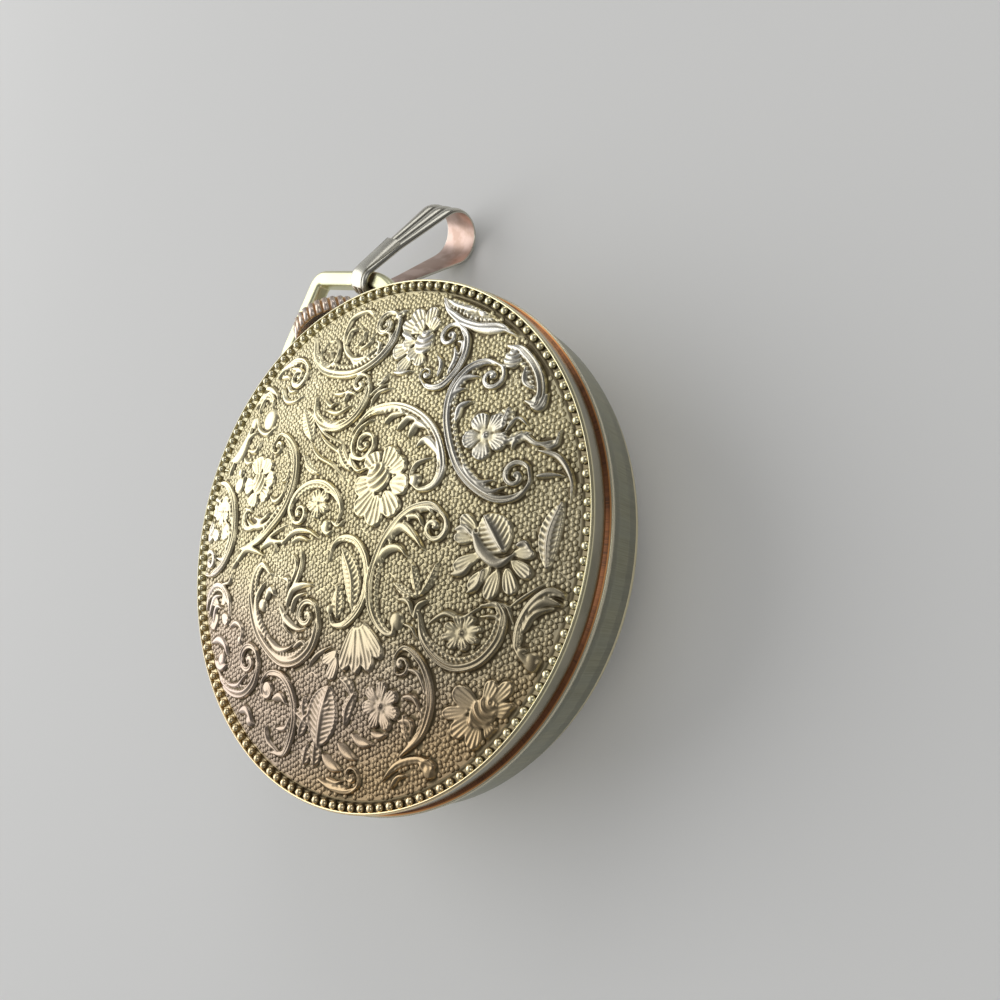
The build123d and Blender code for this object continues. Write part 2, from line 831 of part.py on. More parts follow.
def minute_wheel():
    low = minute_wheel_low
    body = gear(minute_teeth, motion_module, low, minute_wheel_high, minute_wheel_at, minute_wheel_phase)
    body += gear(minute_leaves, hour_module, hour_wheel_low, low, minute_wheel_at)
    return body - rod(post_radius + slip_gap, hour_wheel_low - overrun, plate_bottom, minute_wheel_at)


# The plates

def main_plate():
    lever_pivot = (lever_pivot_x, lever_pivot_y)
    rim = tube(movement_radius, movement_radius - plate_rim_wall, dial_back, plate_bottom)
    rim_cut_low = (-lever_rim_cut, lever_pivot_y - lever_width, dial_back - overrun)
    rim -= block(rim_cut_low, (stem_slot_width, movement_radius + overrun, plate_bottom))
    body = rod(movement_radius, plate_bottom, plate_top) + rim
    for at in (minute_wheel_at, setting_at, lever_pivot, (yoke_pivot_x, yoke_pivot_y)):
        body += rod(post_radius, lever_low, plate_bottom, at)
    barrel_tip = (barrel_teeth / 2 + addendum_share) * barrel_module
    body -= rod(barrel_tip + free_gap, barrel_low - sheet_gap, plate_top + overrun, barrel_at)
    centre_tip = (centre_leaves / 2 + addendum_share) * barrel_module
    body -= rod(centre_tip + free_gap, barrel_low - sheet_gap, plate_top + overrun)
    body -= rod(cannon_bore + slip_gap, plate_bottom - overrun, plate_top + overrun)
    body -= rod(barrel_arbor_neck + slip_gap, plate_bottom - overrun, plate_top, barrel_at)
    for at in plate_jewel_places():
        body -= rod(jewel_radius, plate_top - jewel_sheet, plate_top + overrun, at)
        body -= rod(pivot_radius + slip_gap, plate_top - pivot_length, plate_top, at)
    slot_half = stem_slot_width / 2
    slot_low = (-slot_half, lever_pin_y - stem_groove_width / 2, plate_bottom - overrun)
    body -= block(slot_low, (slot_half, movement_radius + overrun, axis_height))
    body -= rod_along_y(stem_radius + free_gap, sliding_inner_end(), movement_radius + overrun)
    body -= rod_along_y(stem_thin_radius + slip_gap, stem_pilot_end(), sliding_inner_end())
    body -= rod_along_y(sliding_pinion_radius + free_gap, sliding_inner_end(), winding_hub_start_y + overrun)
    body -= winding_pinion_room(winding_hub_start_y - free_gap)
    for at in barrel_bridge_pillars + train_bridge_pillars + [cock_foot_at]:
        body -= screw_hole(at, plate_bottom - overrun, plate_top + overrun)
    for at in clamp_screw_places():
        body -= screw_hole(at, plate_top - screw_shank_length, plate_top + overrun)
    for at in pallet_feet():
        body -= screw_hole_small(at, plate_top - screw_shank_length, plate_top + overrun)
    return body


def winding_pinion_room(start):
    return rod_along_y(winding_pinion_radius + sheet_gap, start, winding_pinion_outer_y + sheet_gap)


def plate_jewel_places():
    return [third_at, fourth_at, escape_at, pallet_at, balance_at]


def sliding_inner_end():
    outer_face = winding_hub_start_y - clutch_tooth_height - part_gap
    return outer_face - sliding_pinion_length - sliding_pinion_shift - free_gap


def stem_pilot_end():
    return stem_square_start_y - stem_pilot_length - free_gap


def clamp_screw_places():
    return [polar(clamp_screw_radius, direction) for direction in clamp_directions]


def pallet_feet():
    middle = direction_between(pallet_at, balance_at)
    return [polar(pallet_foot_reach, middle + side * pallet_foot_spread, pallet_at) for side in (-1, 1)]


def bridge_blank(outline, pillars):
    disc = rod(movement_radius - bridge_inset, bridge_bottom, bridge_top)
    body = disc & slab(outline, bridge_bottom, bridge_top)
    for at in pillars:
        body += rod(pillar_radius, plate_top, bridge_top, at)
    for at in pillars:
        body -= screw_hole(at, plate_top - overrun, bridge_top + overrun)
    return body


def barrel_bridge():
    edge = [movement_place(angle, wide_share) for angle in range(*barrel_bridge_arc)]
    inner = [(x * movement_radius, y * movement_radius) for x, y in barrel_bridge_inner_shares]
    body = bridge_blank(edge + inner, barrel_bridge_pillars)
    body -= rod(ratchet_tip + free_gap, recess_floor, bridge_top + overrun, barrel_at)
    body -= rod(crown_wheel_tip + free_gap, recess_floor, bridge_top + overrun, crown_wheel_at)
    body -= click_recess()
    body -= rod(barrel_arbor_neck + slip_gap, bridge_bottom - overrun, bridge_top, barrel_at)
    body -= screw_hole(crown_wheel_at, bridge_bottom - overrun, recess_floor + overrun)
    body -= screw_hole(click_pivot(), bridge_bottom - overrun, recess_floor + overrun)
    body -= winding_pinion_room(winding_tooth_start_y - part_gap)
    body -= rod(jewel_radius, bridge_bottom - overrun, bridge_bottom + jewel_sheet)
    return body - rod(pivot_radius + slip_gap, bridge_bottom - overrun, bridge_bottom + pivot_length)


def train_bridge():
    edge = [movement_place(angle, wide_share) for angle in range(*train_bridge_arc)]
    inner = [(x * movement_radius, y * movement_radius) for x, y in train_bridge_inner_shares]
    body = bridge_blank(edge + inner, train_bridge_pillars)
    for at in (third_at, fourth_at, escape_at):
        body -= rod(jewel_radius, bridge_bottom - overrun, bridge_bottom + jewel_sheet, at)
        body -= rod(pivot_radius + slip_gap, bridge_bottom - overrun, bridge_bottom + pivot_length, at)
    return body


def pallet_bridge():
    body = rod(pallet_foot_radius, pallet_bridge_low, pallet_bridge_high, pallet_at)
    for at in pallet_feet():
        body += bar(at, pallet_at, 2 * pallet_foot_radius, pallet_bridge_low, pallet_bridge_high)
        body += rod(pallet_foot_radius, plate_top, pallet_bridge_high, at)
    for at in pallet_feet():
        body -= screw_hole_small(at, plate_top - overrun, pallet_bridge_high + overrun)
    return body - rod(pivot_radius + slip_gap, plate_top, pallet_bridge_high + overrun, pallet_at)


def screw_hole_small(at, low, high):
    return rod(pallet_foot_radius / 2, low, high, at)


def balance_cock():
    body = bar(balance_at, cock_foot_at, cock_width, cock_low, cock_high)
    body += rod(cock_width / 2, cock_low, cock_high, balance_at)
    body += rod(pillar_radius + free_gap, plate_top, cock_high, cock_foot_at)
    body -= screw_hole(cock_foot_at, plate_top - overrun, cock_high + overrun)
    body -= rod(jewel_radius, cock_low - overrun, cock_low + jewel_sheet, balance_at)
    body -= rod(pivot_radius + slip_gap, cock_low - overrun, cock_low + pivot_length, balance_at)
    body += rod(cock_boss_radius, cock_high, cock_high + cock_boss_height, balance_at)
    return body - rod(stud_radius, cock_low - overrun, cock_high + overrun, stud_at())


# The barrel and winding works

def barrel():
    tooth_high = barrel_low + barrel_tooth_height
    drum = (barrel_teeth / 2 - dedendum_share) * barrel_module - free_gap
    body = gear(barrel_teeth, barrel_module, barrel_low, tooth_high, barrel_at)
    body += rod(drum, barrel_low, barrel_high - barrel_lid_sheet, barrel_at)
    body -= rod(drum - barrel_wall, barrel_low + barrel_wall, barrel_high + overrun, barrel_at)
    return body - rod(barrel_arbor_neck + slip_gap, barrel_low - overrun, barrel_high, barrel_at)


def barrel_lid():
    drum = (barrel_teeth / 2 - dedendum_share) * barrel_module - free_gap
    return tube(drum, barrel_arbor_neck + slip_gap, barrel_high - barrel_lid_sheet, barrel_high, barrel_at)


def barrel_arbor():
    core_low = barrel_low + barrel_wall + slip_gap
    core_high = barrel_high - barrel_lid_sheet - slip_gap
    body = rod(barrel_arbor_radius, core_low, core_high, barrel_at)
    body += rod(barrel_arbor_neck, plate_bottom, ratchet_low, barrel_at)
    half = arbor_square / 2
    x, y = barrel_at
    body += block((x - half, y - half, ratchet_low), (x + half, y + half, ratchet_high))
    return body - rod(ratchet_screw_shank, ratchet_high - ratchet_sheet, ratchet_high + overrun, barrel_at)


def mainspring():
    drum = (barrel_teeth / 2 - dedendum_share) * barrel_module - free_gap
    low = barrel_low + barrel_wall + part_gap
    high = barrel_high - barrel_lid_sheet - part_gap
    inner = barrel_arbor_radius + part_gap
    outer = drum - barrel_wall - mainspring_sheet - part_gap
    return spiral_strip(inner, outer, mainspring_turns, mainspring_sheet, low, high, barrel_at)


def ratchet_wheel():
    body = gear(ratchet_teeth, winding_module, ratchet_low, ratchet_high, barrel_at, ratchet_phase)
    half = arbor_square / 2
    x, y = barrel_at
    low = ratchet_low - overrun
    high = ratchet_high + overrun
    return body - block((x - half, y - half, low), (x + half, y + half, high))


def ratchet_screw():
    head = rod(ratchet_screw_head, ratchet_high, ratchet_high + screw_head_height, barrel_at)
    return head + rod(ratchet_screw_shank, ratchet_high - ratchet_sheet, ratchet_high, barrel_at)


def crown_wheel():
    at = crown_wheel_at
    body = gear(crown_wheel_teeth, winding_module, ratchet_low, ratchet_high, at, crown_wheel_phase)
    return body - rod(crown_wheel_core + slip_gap, ratchet_low - overrun, ratchet_high + overrun, at)


def crown_wheel_screw():
    head_low = ratchet_high + slip_gap
    body = rod(crown_wheel_core, recess_floor, head_low, crown_wheel_at)
    body += rod(crown_wheel_core + crown_wheel_lip, head_low, head_low + crown_wheel_head, crown_wheel_at)
    return body + rod(screw_shank_radius, bridge_bottom, recess_floor, crown_wheel_at)


def click_pivot():
    return polar(ratchet_tip + click_stand, click_direction, barrel_at)


def click_tip():
    return polar(ratchet_tip + click_width / 2 + slip_gap, click_direction + click_lead, barrel_at)


def click_recess():
    recess = rod(click_boss + free_gap, recess_floor, bridge_top + overrun, click_pivot())
    lifted = direction_between(click_pivot(), click_tip()) + click_side * click_swing
    end = polar(click_length + free_gap, lifted, click_pivot())
    spring_reach = click_width / 2 + click_spring_gap + spring_strip + free_gap
    recess += bar(click_pivot(), end, 2 * spring_reach, recess_floor, bridge_top + overrun)
    return recess


def click():
    body = rod(click_boss, ratchet_low, ratchet_high, click_pivot())
    end = polar(click_length, direction_between(click_pivot(), click_tip()), click_pivot())
    body += bar(click_pivot(), end, click_width, ratchet_low, ratchet_high)
    bore = screw_shank_radius + slip_gap
    return body - rod(bore, ratchet_low - overrun, ratchet_high + overrun, click_pivot())


def click_screw():
    head_low = ratchet_high + slip_gap
    body = rod(screw_shank_radius, bridge_bottom, head_low, click_pivot())
    return body + rod(click_boss, head_low, head_low + crown_wheel_head, click_pivot())


def click_spring():
    along = direction_between(click_pivot(), click_tip())
    offset = click_width / 2 + click_spring_gap + spring_strip / 2
    start = polar(offset, along + click_side * 90, click_pivot())
    end = polar(click_length, along, start)
    return bar(start, end, spring_strip, ratchet_low, ratchet_high)


# The going train

def arbor(at, low=None, high=None, radius=None):
    low = plate_top + slip_gap if low is None else low
    high = bridge_bottom - slip_gap if high is None else high
    radius = arbor_radius if radius is None else radius
    body = rod(radius, low, high, at)
    return body + rod(pivot_radius, low - pivot_stand, high + pivot_stand, at)


def spoked_wheel(teeth, module, low, at):
    high = low + wheel_sheet
    body = gear(teeth, module, low, high, at)
    inner_rim = (teeth / 2 - dedendum_share) * module - wheel_rim
    return spoked(body, inner_rim, wheel_hub, wheel_arm, wheel_arms, at, low, high)


def centre_wheel():
    body = spoked_wheel(centre_teeth, centre_module, centre_low, centre_at)
    body += gear(centre_leaves, barrel_module, barrel_low, centre_low, centre_at, centre_pinion_phase)
    arbor_low = minute_hand_low - cannon_tip - cannon_bore
    body += rod(cannon_bore - slip_gap, arbor_low, bridge_bottom - slip_gap)
    return body + rod(pivot_radius, centre_low, bridge_bottom + pivot_stand)


def third_wheel():
    body = spoked_wheel(third_teeth, third_module, third_low, third_at)
    low = centre_low - pinion_overlap
    high = centre_low + wheel_sheet + pinion_overlap
    body += gear(third_leaves, centre_module, low, high, third_at, third_pinion_phase)
    return body + arbor(third_at)


def fourth_wheel():
    body = spoked_wheel(fourth_teeth, fourth_module, fourth_low, fourth_at)
    leaf_low = third_low - sheet_gap
    body += gear(fourth_leaves, third_module, leaf_low, fourth_low, fourth_at, fourth_pinion_phase)
    return body + arbor(fourth_at)


def escape_wheel():
    pitch = 360 / escape_teeth
    root = escape_radius - escape_tooth_height
    outline = []
    for index in range(escape_teeth):
        for radius, share in zip((root, escape_radius, escape_radius, root), escape_tooth_shares):
            outline.append(polar(radius, (index + share) * pitch, escape_at))
    high = escape_low + wheel_sheet
    body = slab(outline, escape_low, high)
    body = spoked(body, root - wheel_rim / 2, escape_hub, wheel_arm, wheel_arms, escape_at, escape_low, high)
    leaf_low = fourth_low - sheet_gap
    leaf_high = fourth_low + wheel_sheet + sheet_gap
    body += gear(escape_leaves, fourth_module, leaf_low, leaf_high, escape_at, escape_pinion_phase)
    return body + arbor(escape_at)


# The escapement and balance

def pallet_fork():
    towards_wheel = direction_between(pallet_at, escape_at)
    towards_balance = direction_between(pallet_at, balance_at)
    stone_reach = escape_radius + pallet_lock_gap + pallet_stone / 2
    base = (Align.CENTER, Align.CENTER, Align.MIN)
    body = rod(pallet_boss, escape_low, pallet_high, pallet_at)
    for side in (-1, 1):
        stone = polar(stone_reach, towards_wheel + 180 + side * pallet_span, escape_at)
        turn = Rot(0, 0, towards_wheel + side * pallet_draw)
        body += bar(pallet_at, stone, pallet_arm_width, escape_low, pallet_high)
        stone_box = Box(pallet_stone, pallet_arm_width, pallet_sheet, align=base)
        body += Pos(stone[0], stone[1], escape_low) * turn * stone_box
    fork_end = polar(fork_reach, towards_balance, pallet_at)
    slot_end = polar(fork_reach - fork_horn, towards_balance, pallet_at)
    body += bar(pallet_at, slot_end, pallet_arm_width, escape_low, pallet_high)
    body += bar(slot_end, fork_end, 2 * fork_slot, escape_low, pallet_high)
    slot_start = polar(fork_reach - fork_horn / 2, towards_balance, pallet_at)
    far = polar(fork_reach + overrun, towards_balance, pallet_at)
    body -= bar(slot_start, far, fork_slot, escape_low - overrun, pallet_high + overrun)
    return body + arbor(pallet_at, high=pallet_bridge_low - slip_gap)


def balance_wheel():
    body = tube(balance_radius, balance_radius - balance_rim, balance_low, balance_high, balance_at)
    reach = balance_radius - balance_rim / 2
    arm_high = balance_low + balance_rim_height / 2
    arm_start = polar(reach, balance_arm_direction, balance_at)
    arm_end = polar(reach, balance_arm_direction + 180, balance_at)
    body += bar(arm_start, arm_end, balance_arm, balance_low, arm_high)
    body += rod(balance_hub, balance_low, arm_high, balance_at)
    return body - rod(balance_staff_radius, balance_low - overrun, balance_high + overrun, balance_at)


def balance_staff():
    body = arbor(balance_at, high=cock_low - slip_gap, radius=balance_staff_radius)
    collet_low = balance_high + free_gap
    return body + rod(hairspring_inner - part_gap, collet_low, collet_low + hairspring_height, balance_at)


def roller():
    high = roller_low + roller_sheet
    body = tube(roller_radius, balance_staff_radius, roller_low, high, balance_at)
    pin_at = polar(impulse_pin_reach, direction_between(balance_at, pallet_at), balance_at)
    return body + rod(impulse_pin_radius, pallet_high + part_gap, high, pin_at)


def hairspring():
    low = balance_high + free_gap
    high = low + hairspring_height
    turns = hairspring_turns
    spring = spiral_strip(hairspring_inner, hairspring_outer, turns, hairspring_strip, low, high, (0, 0))
    return Pos(balance_at[0], balance_at[1], 0) * Rot(0, 0, cock_foot_direction) * spring


def stud_at():
    return polar(hairspring_outer + hairspring_strip + stud_radius, cock_foot_direction, balance_at)


def hairspring_stud():
    return rod(stud_radius, balance_high + free_gap, cock_high, stud_at())


def regulator():
    low = cock_high + slip_gap
    high = low + regulator_sheet
    body = rod(cock_boss_radius + slip_gap + regulator_band, low, high, balance_at)
    tail = polar(regulator_length, cock_foot_direction + regulator_lead, balance_at)
    body += bar(balance_at, tail, regulator_band, low, high)
    return body - rod(cock_boss_radius + slip_gap, low - overrun, high + overrun, balance_at)


# The keyless works

def clutch_ring(start, end, phase):
    solids = []
    pitch = 360 / clutch_teeth
    half = clutch_tooth_share * pitch
    for index in range(clutch_teeth):
        middle = index * pitch + phase
        corners = ((clutch_inner, -half), (clutch_outer, -half), (clutch_outer, half), (clutch_inner, half))
        solids.append(slab([polar(radius, middle + turn) for radius, turn in corners], start, end))
    return solids


def laid_along_y(body):
    return Pos(0, 0, axis_height) * Rot(-90, 0, 0) * body


def winding_pinion():
    body = gear(winding_teeth, winding_module, winding_tooth_start_y, winding_pinion_outer_y)
    body += rod(winding_pinion_hub_radius, winding_hub_start_y, winding_tooth_start_y)
    for tooth in clutch_ring(winding_hub_start_y - clutch_tooth_height, winding_hub_start_y, 0):
        body += tooth
    bore = rod(stem_radius + slip_gap, winding_hub_start_y - overrun, winding_pinion_outer_y + overrun)
    return laid_along_y(body - bore)


def sliding_outer_face():
    return winding_hub_start_y - clutch_tooth_height - part_gap


def groove_centre_y():
    return sliding_outer_face() - sliding_groove_inset


def sliding_pinion():
    outer = sliding_outer_face()
    inner = outer - sliding_pinion_length
    teeth_end = inner + setting_tooth_length
    face_module = sliding_pinion_radius / (setting_face_teeth / 2 + addendum_share)
    body = rod(winding_pinion_hub_radius, inner, outer)
    body += gear(setting_face_teeth, face_module, inner, teeth_end)
    groove_low = groove_centre_y() - sliding_pinion_groove / 2
    groove_high = groove_low + sliding_pinion_groove
    body -= tube(winding_pinion_hub_radius + overrun, sliding_pinion_groove_radius, groove_low, groove_high)
    for tooth in clutch_ring(outer, outer + clutch_tooth_height, 180 / clutch_teeth):
        body += tooth
    half = stem_square / 2 + slip_gap
    bore = block((-half, -half, inner - overrun), (half, half, outer + overrun))
    return laid_along_y(body - bore)


def setting_lever():
    pivot = (lever_pivot_x, lever_pivot_y)
    pin = (0, lever_pin_y)
    body = bar(pivot, pin, lever_width, lever_low, lever_high)
    body += rod(lever_width, lever_low, lever_high, pivot)
    body += rod(lever_width / 2, lever_low, lever_high, pin)
    pin_top = axis_height - stem_thin_radius - part_gap
    body += rod(lever_pin_radius, lever_high, pin_top, pin)
    return body - rod(post_radius + slip_gap, lever_low - overrun, lever_high + overrun, pivot)


def yoke():
    pivot = (yoke_pivot_x, yoke_pivot_y)
    tip = (yoke_tip_x, groove_centre_y())
    body = bar(pivot, tip, lever_width, yoke_low, yoke_high)
    body += rod(lever_width, yoke_low, yoke_high, pivot)
    finger_top = axis_height - sliding_pinion_groove_radius - part_gap
    body += rod(yoke_finger_radius, yoke_low, finger_top, tip)
    return body - rod(post_radius + slip_gap, yoke_low - overrun, yoke_high + overrun, pivot)


def yoke_spring():
    foot = (yoke_spring_foot_x, yoke_spring_foot_y)
    tip = (yoke_spring_tip_x, groove_centre_y() + lever_width / 2 + yoke_spring_gap)
    return bar(foot, tip, spring_strip, yoke_low, yoke_high) + rod(post_radius, yoke_low, plate_bottom, foot)


def setting_wheel():
    body = gear(setting_teeth, motion_module, minute_wheel_low, minute_wheel_high, setting_at, setting_phase)
    return body - rod(post_radius + slip_gap, minute_wheel_low - overrun, plate_bottom, setting_at)


def setting_bridge():
    high = minute_wheel_low - part_gap
    low = high - lever_sheet
    left = (setting_bridge_left_x, setting_bridge_left_y)
    right = (setting_bridge_right_x, setting_bridge_right_y)
    body = bar(left, right, setting_bridge_width, low, high)
    for foot in (left, right):
        body += rod(setting_bridge_width / 2, low, plate_bottom, foot)
    return body - rod(post_radius, low - overrun, high + overrun, setting_at)


# Groups of alike small pieces

def jewel(at, low):
    return tube(jewel_radius, pivot_radius + slip_gap, low, low + jewel_sheet, at)


def plate_jewels():
    return group([jewel(at, plate_top - jewel_sheet) for at in plate_jewel_places()])


def bridge_jewels():
    jewels = [jewel(at, bridge_bottom) for at in (centre_at, third_at, fourth_at, escape_at)]
    return group(jewels + [jewel(balance_at, cock_low)])


def bridge_screws():
    screws = [screw(at, bridge_top, plate_bottom) for at in barrel_bridge_pillars + train_bridge_pillars]
    return group(screws + [screw(cock_foot_at, cock_high, plate_bottom)])


def pallet_bridge_screws():
    shank = pallet_foot_radius / 2
    solids = []
    for at in pallet_feet():
        head_low = pallet_bridge_high
        body = rod(pallet_foot_radius, head_low, head_low + sheet_gap, at)
        solids.append(body + rod(shank, plate_top - screw_shank_length, head_low, at))
    return group(solids)


def case_clamps():
    solids = []
    for direction in clamp_directions:
        start = polar(clamp_screw_radius - clamp_width / 2, direction)
        end = polar(ring_inner_radius + ring_ledge_width / 2, direction)
        body = bar(start, end, clamp_width, plate_top, plate_top + clamp_sheet)
        at = polar(clamp_screw_radius, direction)
        solids.append(body - screw_hole(at, plate_top - overrun, plate_top + clamp_sheet + overrun))
    return group(solids)


def clamp_screws():
    seat = plate_top + clamp_sheet
    return group([screw(at, seat, plate_top - screw_shank_length) for at in clamp_screw_places()])


pieces = [
    back_cover, cover_gasket, case_middle, bezel, crystal, crystal_gasket, movement_ring,
    crown_tube, bow, bail, crown, crown_gasket, stem, dial, hour_markers, hour_hand, minute_hand,
    cannon_pinion, hour_wheel, minute_wheel, main_plate, barrel_bridge, train_bridge, pallet_bridge,
    balance_cock, barrel, barrel_lid, barrel_arbor, mainspring, ratchet_wheel, ratchet_screw,
    crown_wheel, crown_wheel_screw, click, click_screw, click_spring, centre_wheel, third_wheel,
    fourth_wheel, escape_wheel, pallet_fork, balance_wheel, balance_staff, roller, hairspring,
    hairspring_stud, regulator, winding_pinion, sliding_pinion, setting_lever, yoke, yoke_spring,
    setting_wheel, setting_bridge, plate_jewels, bridge_jewels, bridge_screws, pallet_bridge_screws,
    case_clamps, clamp_screws,
]


def write_parts():
    os.makedirs("parts", exist_ok=True)
    for make_piece in pieces:
        export_step(make_piece(), os.path.join("parts", make_piece.__name__ + ".step"))


write_parts()
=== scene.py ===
import json
import math

import bmesh
import bpy
import numpy as np
from mathutils import Matrix, Vector

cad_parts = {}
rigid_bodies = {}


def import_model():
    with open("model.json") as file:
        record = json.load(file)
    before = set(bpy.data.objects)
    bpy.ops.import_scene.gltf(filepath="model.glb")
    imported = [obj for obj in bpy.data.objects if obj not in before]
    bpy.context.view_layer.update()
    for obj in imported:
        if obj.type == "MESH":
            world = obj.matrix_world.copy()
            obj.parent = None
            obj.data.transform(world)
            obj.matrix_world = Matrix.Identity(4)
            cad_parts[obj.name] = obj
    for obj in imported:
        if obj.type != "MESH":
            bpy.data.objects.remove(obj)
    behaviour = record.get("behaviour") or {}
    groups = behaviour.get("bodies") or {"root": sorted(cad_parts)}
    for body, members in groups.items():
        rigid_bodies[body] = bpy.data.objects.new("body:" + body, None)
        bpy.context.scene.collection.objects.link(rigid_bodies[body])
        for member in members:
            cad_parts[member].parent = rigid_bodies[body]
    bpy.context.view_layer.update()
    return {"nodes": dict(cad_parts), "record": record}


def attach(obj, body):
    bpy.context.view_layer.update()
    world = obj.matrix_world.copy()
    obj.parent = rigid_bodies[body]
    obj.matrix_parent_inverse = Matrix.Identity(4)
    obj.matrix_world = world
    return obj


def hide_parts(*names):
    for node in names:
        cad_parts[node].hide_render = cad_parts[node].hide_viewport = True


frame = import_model()
nodes = frame["nodes"]
slotOf = {entry["node"]: entry["material_slot"] for entry in frame["record"]["subparts"]}
bodyOf = {node: piece.parent.name.split(":", 1)[1] for node, piece in nodes.items()}
mm = 0.001
turn = 2 * math.pi
print("frame loaded:", len(nodes), "nodes")


# wraps a socket so that it can stand in a sum
class Term:
    def __init__(self, finish, socket):
        self.finish = finish
        self.socket = socket

    def math(self, operation, *others):
        inputs = dict(enumerate((self,) + others))
        return self.finish.node("ShaderNodeMath", {"operation": operation}, inputs)

    def flipped(self, operation, other):
        return self.finish.node("ShaderNodeMath", {"operation": operation}, {0: other, 1: self})

    def __add__(self, other):
        return self.math("ADD", other)

    def __sub__(self, other):
        return self.math("SUBTRACT", other)

    def __rsub__(self, other):
        return self.flipped("SUBTRACT", other)

    def __mul__(self, other):
        return self.math("MULTIPLY", other)

    __radd__ = __add__
    __rmul__ = __mul__


# one material and the nodes put into it
class Finish:
    def __init__(self, name):
        self.material = bpy.data.materials.new(name)
        self.material.use_nodes = True
        self.nodes = self.material.node_tree.nodes
        self.links = self.material.node_tree.links
        self.shader = self.nodes["Principled BSDF"]

    def node(self, kind, settings=None, inputs=None, output=0):
        made = self.nodes.new(kind)
        for key, value in (settings or {}).items():
            setattr(made, key, value)
        for key, value in (inputs or {}).items():
            self.feed(made.inputs[key], value)
        return Term(self, made.outputs[output])

    def feed(self, socket, value):
        if isinstance(value, Term):
            self.links.new(value.socket, socket)
        elif isinstance(value, tuple) and socket.type == "RGBA":
            socket.default_value = (*value, 1)
        else:
            socket.default_value = value

    def surface(self, **values):
        for name, value in values.items():
            self.feed(self.shader.inputs[name.replace("_", " ")], value)
        return self.material

    def place(self):
        return self.node("ShaderNodeTexCoord", {}, {}, "Object")

    def parts(self, vector):
        split = self.node("ShaderNodeSeparateXYZ", {}, {0: vector})
        return [Term(self, out) for out in split.socket.node.outputs]

    def millimetres(self, place):
        larger = self.node("ShaderNodeVectorMath", {"operation": "SCALE"}, {0: place, "Scale": 1 / mm})
        return self.parts(larger)

    def vector(self, x, y, z):
        return self.node("ShaderNodeCombineXYZ", {}, {0: x, 1: y, 2: z})

    def noise(self, vector, scale, detail=2.0, rough=0.5):
        return self.node("ShaderNodeTexNoise", {}, {
            "Vector": vector, "Scale": scale, "Detail": detail, "Roughness": rough}, "Fac")

    def attribute(self, name):
        return self.node("ShaderNodeAttribute", {"attribute_name": name}, {}, "Fac")

    def ramp(self, factor, low, high):
        return self.node("ShaderNodeMapRange", {"interpolation_type": "SMOOTHSTEP"}, {
            "Value": factor, "From Min": low, "From Max": high})

    def mix(self, factor, first, second):
        return self.node("ShaderNodeMix", {"data_type": "RGBA"}, {0: factor, 6: first, 7: second}, 2)

    def bump(self, height, distance, strength=1.0):
        return self.node("ShaderNodeBump", {}, {"Height": height, "Distance": distance, "Strength": strength})

    def angleOf(self, x, y):
        return self.node("ShaderNodeMath", {"operation": "ARCTAN2"}, {0: y, 1: x})


# a mesh from points in millimetres
def newPiece(name, points, faces, material, smooth=True, sharp=None):
    mesh = bpy.data.meshes.new(name)
    mesh.from_pydata([tuple(mm * c for c in p) for p in points], [], faces)
    mesh.validate()
    piece = bpy.data.objects.new(name, mesh)
    bpy.context.scene.collection.objects.link(piece)
    mesh.materials.append(material)
    if smooth:
        mesh.shade_smooth()
        if sharp is not None:
            mesh.set_sharp_from_angle(angle=math.radians(sharp))
    return piece


# lets a piece stand for a CAD node: puts it on that node's body and hides the node
def standFor(node, piece):
    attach(piece, bodyOf[node])
    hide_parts(node)
    return piece


# turns a closed outline of (radius, height) round the z axis; anticlockwise in the r-z plane faces outwards
def lathe(name, outline, material, steps=240, sharp=35.0):
    area = sum(a[0] * b[1] - b[0] * a[1] for a, b in zip(outline, outline[1:] + outline[:1]))
    ring = outline if area > 0 else outline[::-1]
    points, faces, index = [], [], []
    for radius, height in ring:
        if radius < 1e-6:
            index.append([len(points)] * steps)
            points.append((0, 0, height))
        else:
            index.append(list(range(len(points), len(points) + steps)))
            for k in range(steps):
                angle = turn * k / steps
                points.append((radius * math.cos(angle), radius * math.sin(angle), height))
    count = len(ring)
    for i in range(count):
        a, b = index[i], index[(i + 1) % count]
        for k in range(steps):
            n = (k + 1) % steps
            quad = [a[k], a[n], b[n], b[k]]
            face = [v for j, v in enumerate(quad) if v not in quad[:j]]
            if len(face) > 2:
                faces.append(face)
    return newPiece(name, points, faces, material, sharp=sharp)


# rounds every corner of a closed outline, so that edges catch the light
def rounded(outline, radius=0.08, parts=3):
    made = []
    count = len(outline)
    for i in range(count):
        before, corner, after = (Vector((*outline[(i + k) % count], 0)) for k in (-1, 0, 1))
        inward, outward = before - corner, after - corner
        if corner.x < 1e-6 or min(inward.length, outward.length) < 1e-6:
            made.append((corner.x, corner.y))
            continue
        reach = min(radius, inward.length * 0.4, outward.length * 0.4)
        start = corner + inward.normalized() * reach
        end = corner + outward.normalized() * reach
        for k in range(parts + 1):
            t = k / parts
            p = start * (1 - t) ** 2 + corner * 2 * t * (1 - t) + end * t ** 2
            made.append((p.x, p.y))
    return made


# the chased cover in millimetres
coverSizes = {
    "beadHeight": 10.8, "domeRise": 1.5, "domeEdge": 17.35,  # where the dome starts, its rise and its radius
    "reach": 17.28, "fade": 0.12, "fadeWidth": 0.15,  # the pattern's radius, and how it runs out at its edge
    "sheet": 0.6, "depth": 0.36,  # the metal's thickness and the height of the relief
    "raster": 0.04, "rows": 300, "coarse": 30,  # how finely it is drawn, and meshed above and below
    "curlSteps": 26, "cutPitch": 0.46, "cutSlant": 0.55,  # points in a turn of a curl, and its slanting cuts
}
domeRadius = (coverSizes["domeEdge"] ** 2 + coverSizes["domeRise"] ** 2) / (2 * coverSizes["domeRise"])


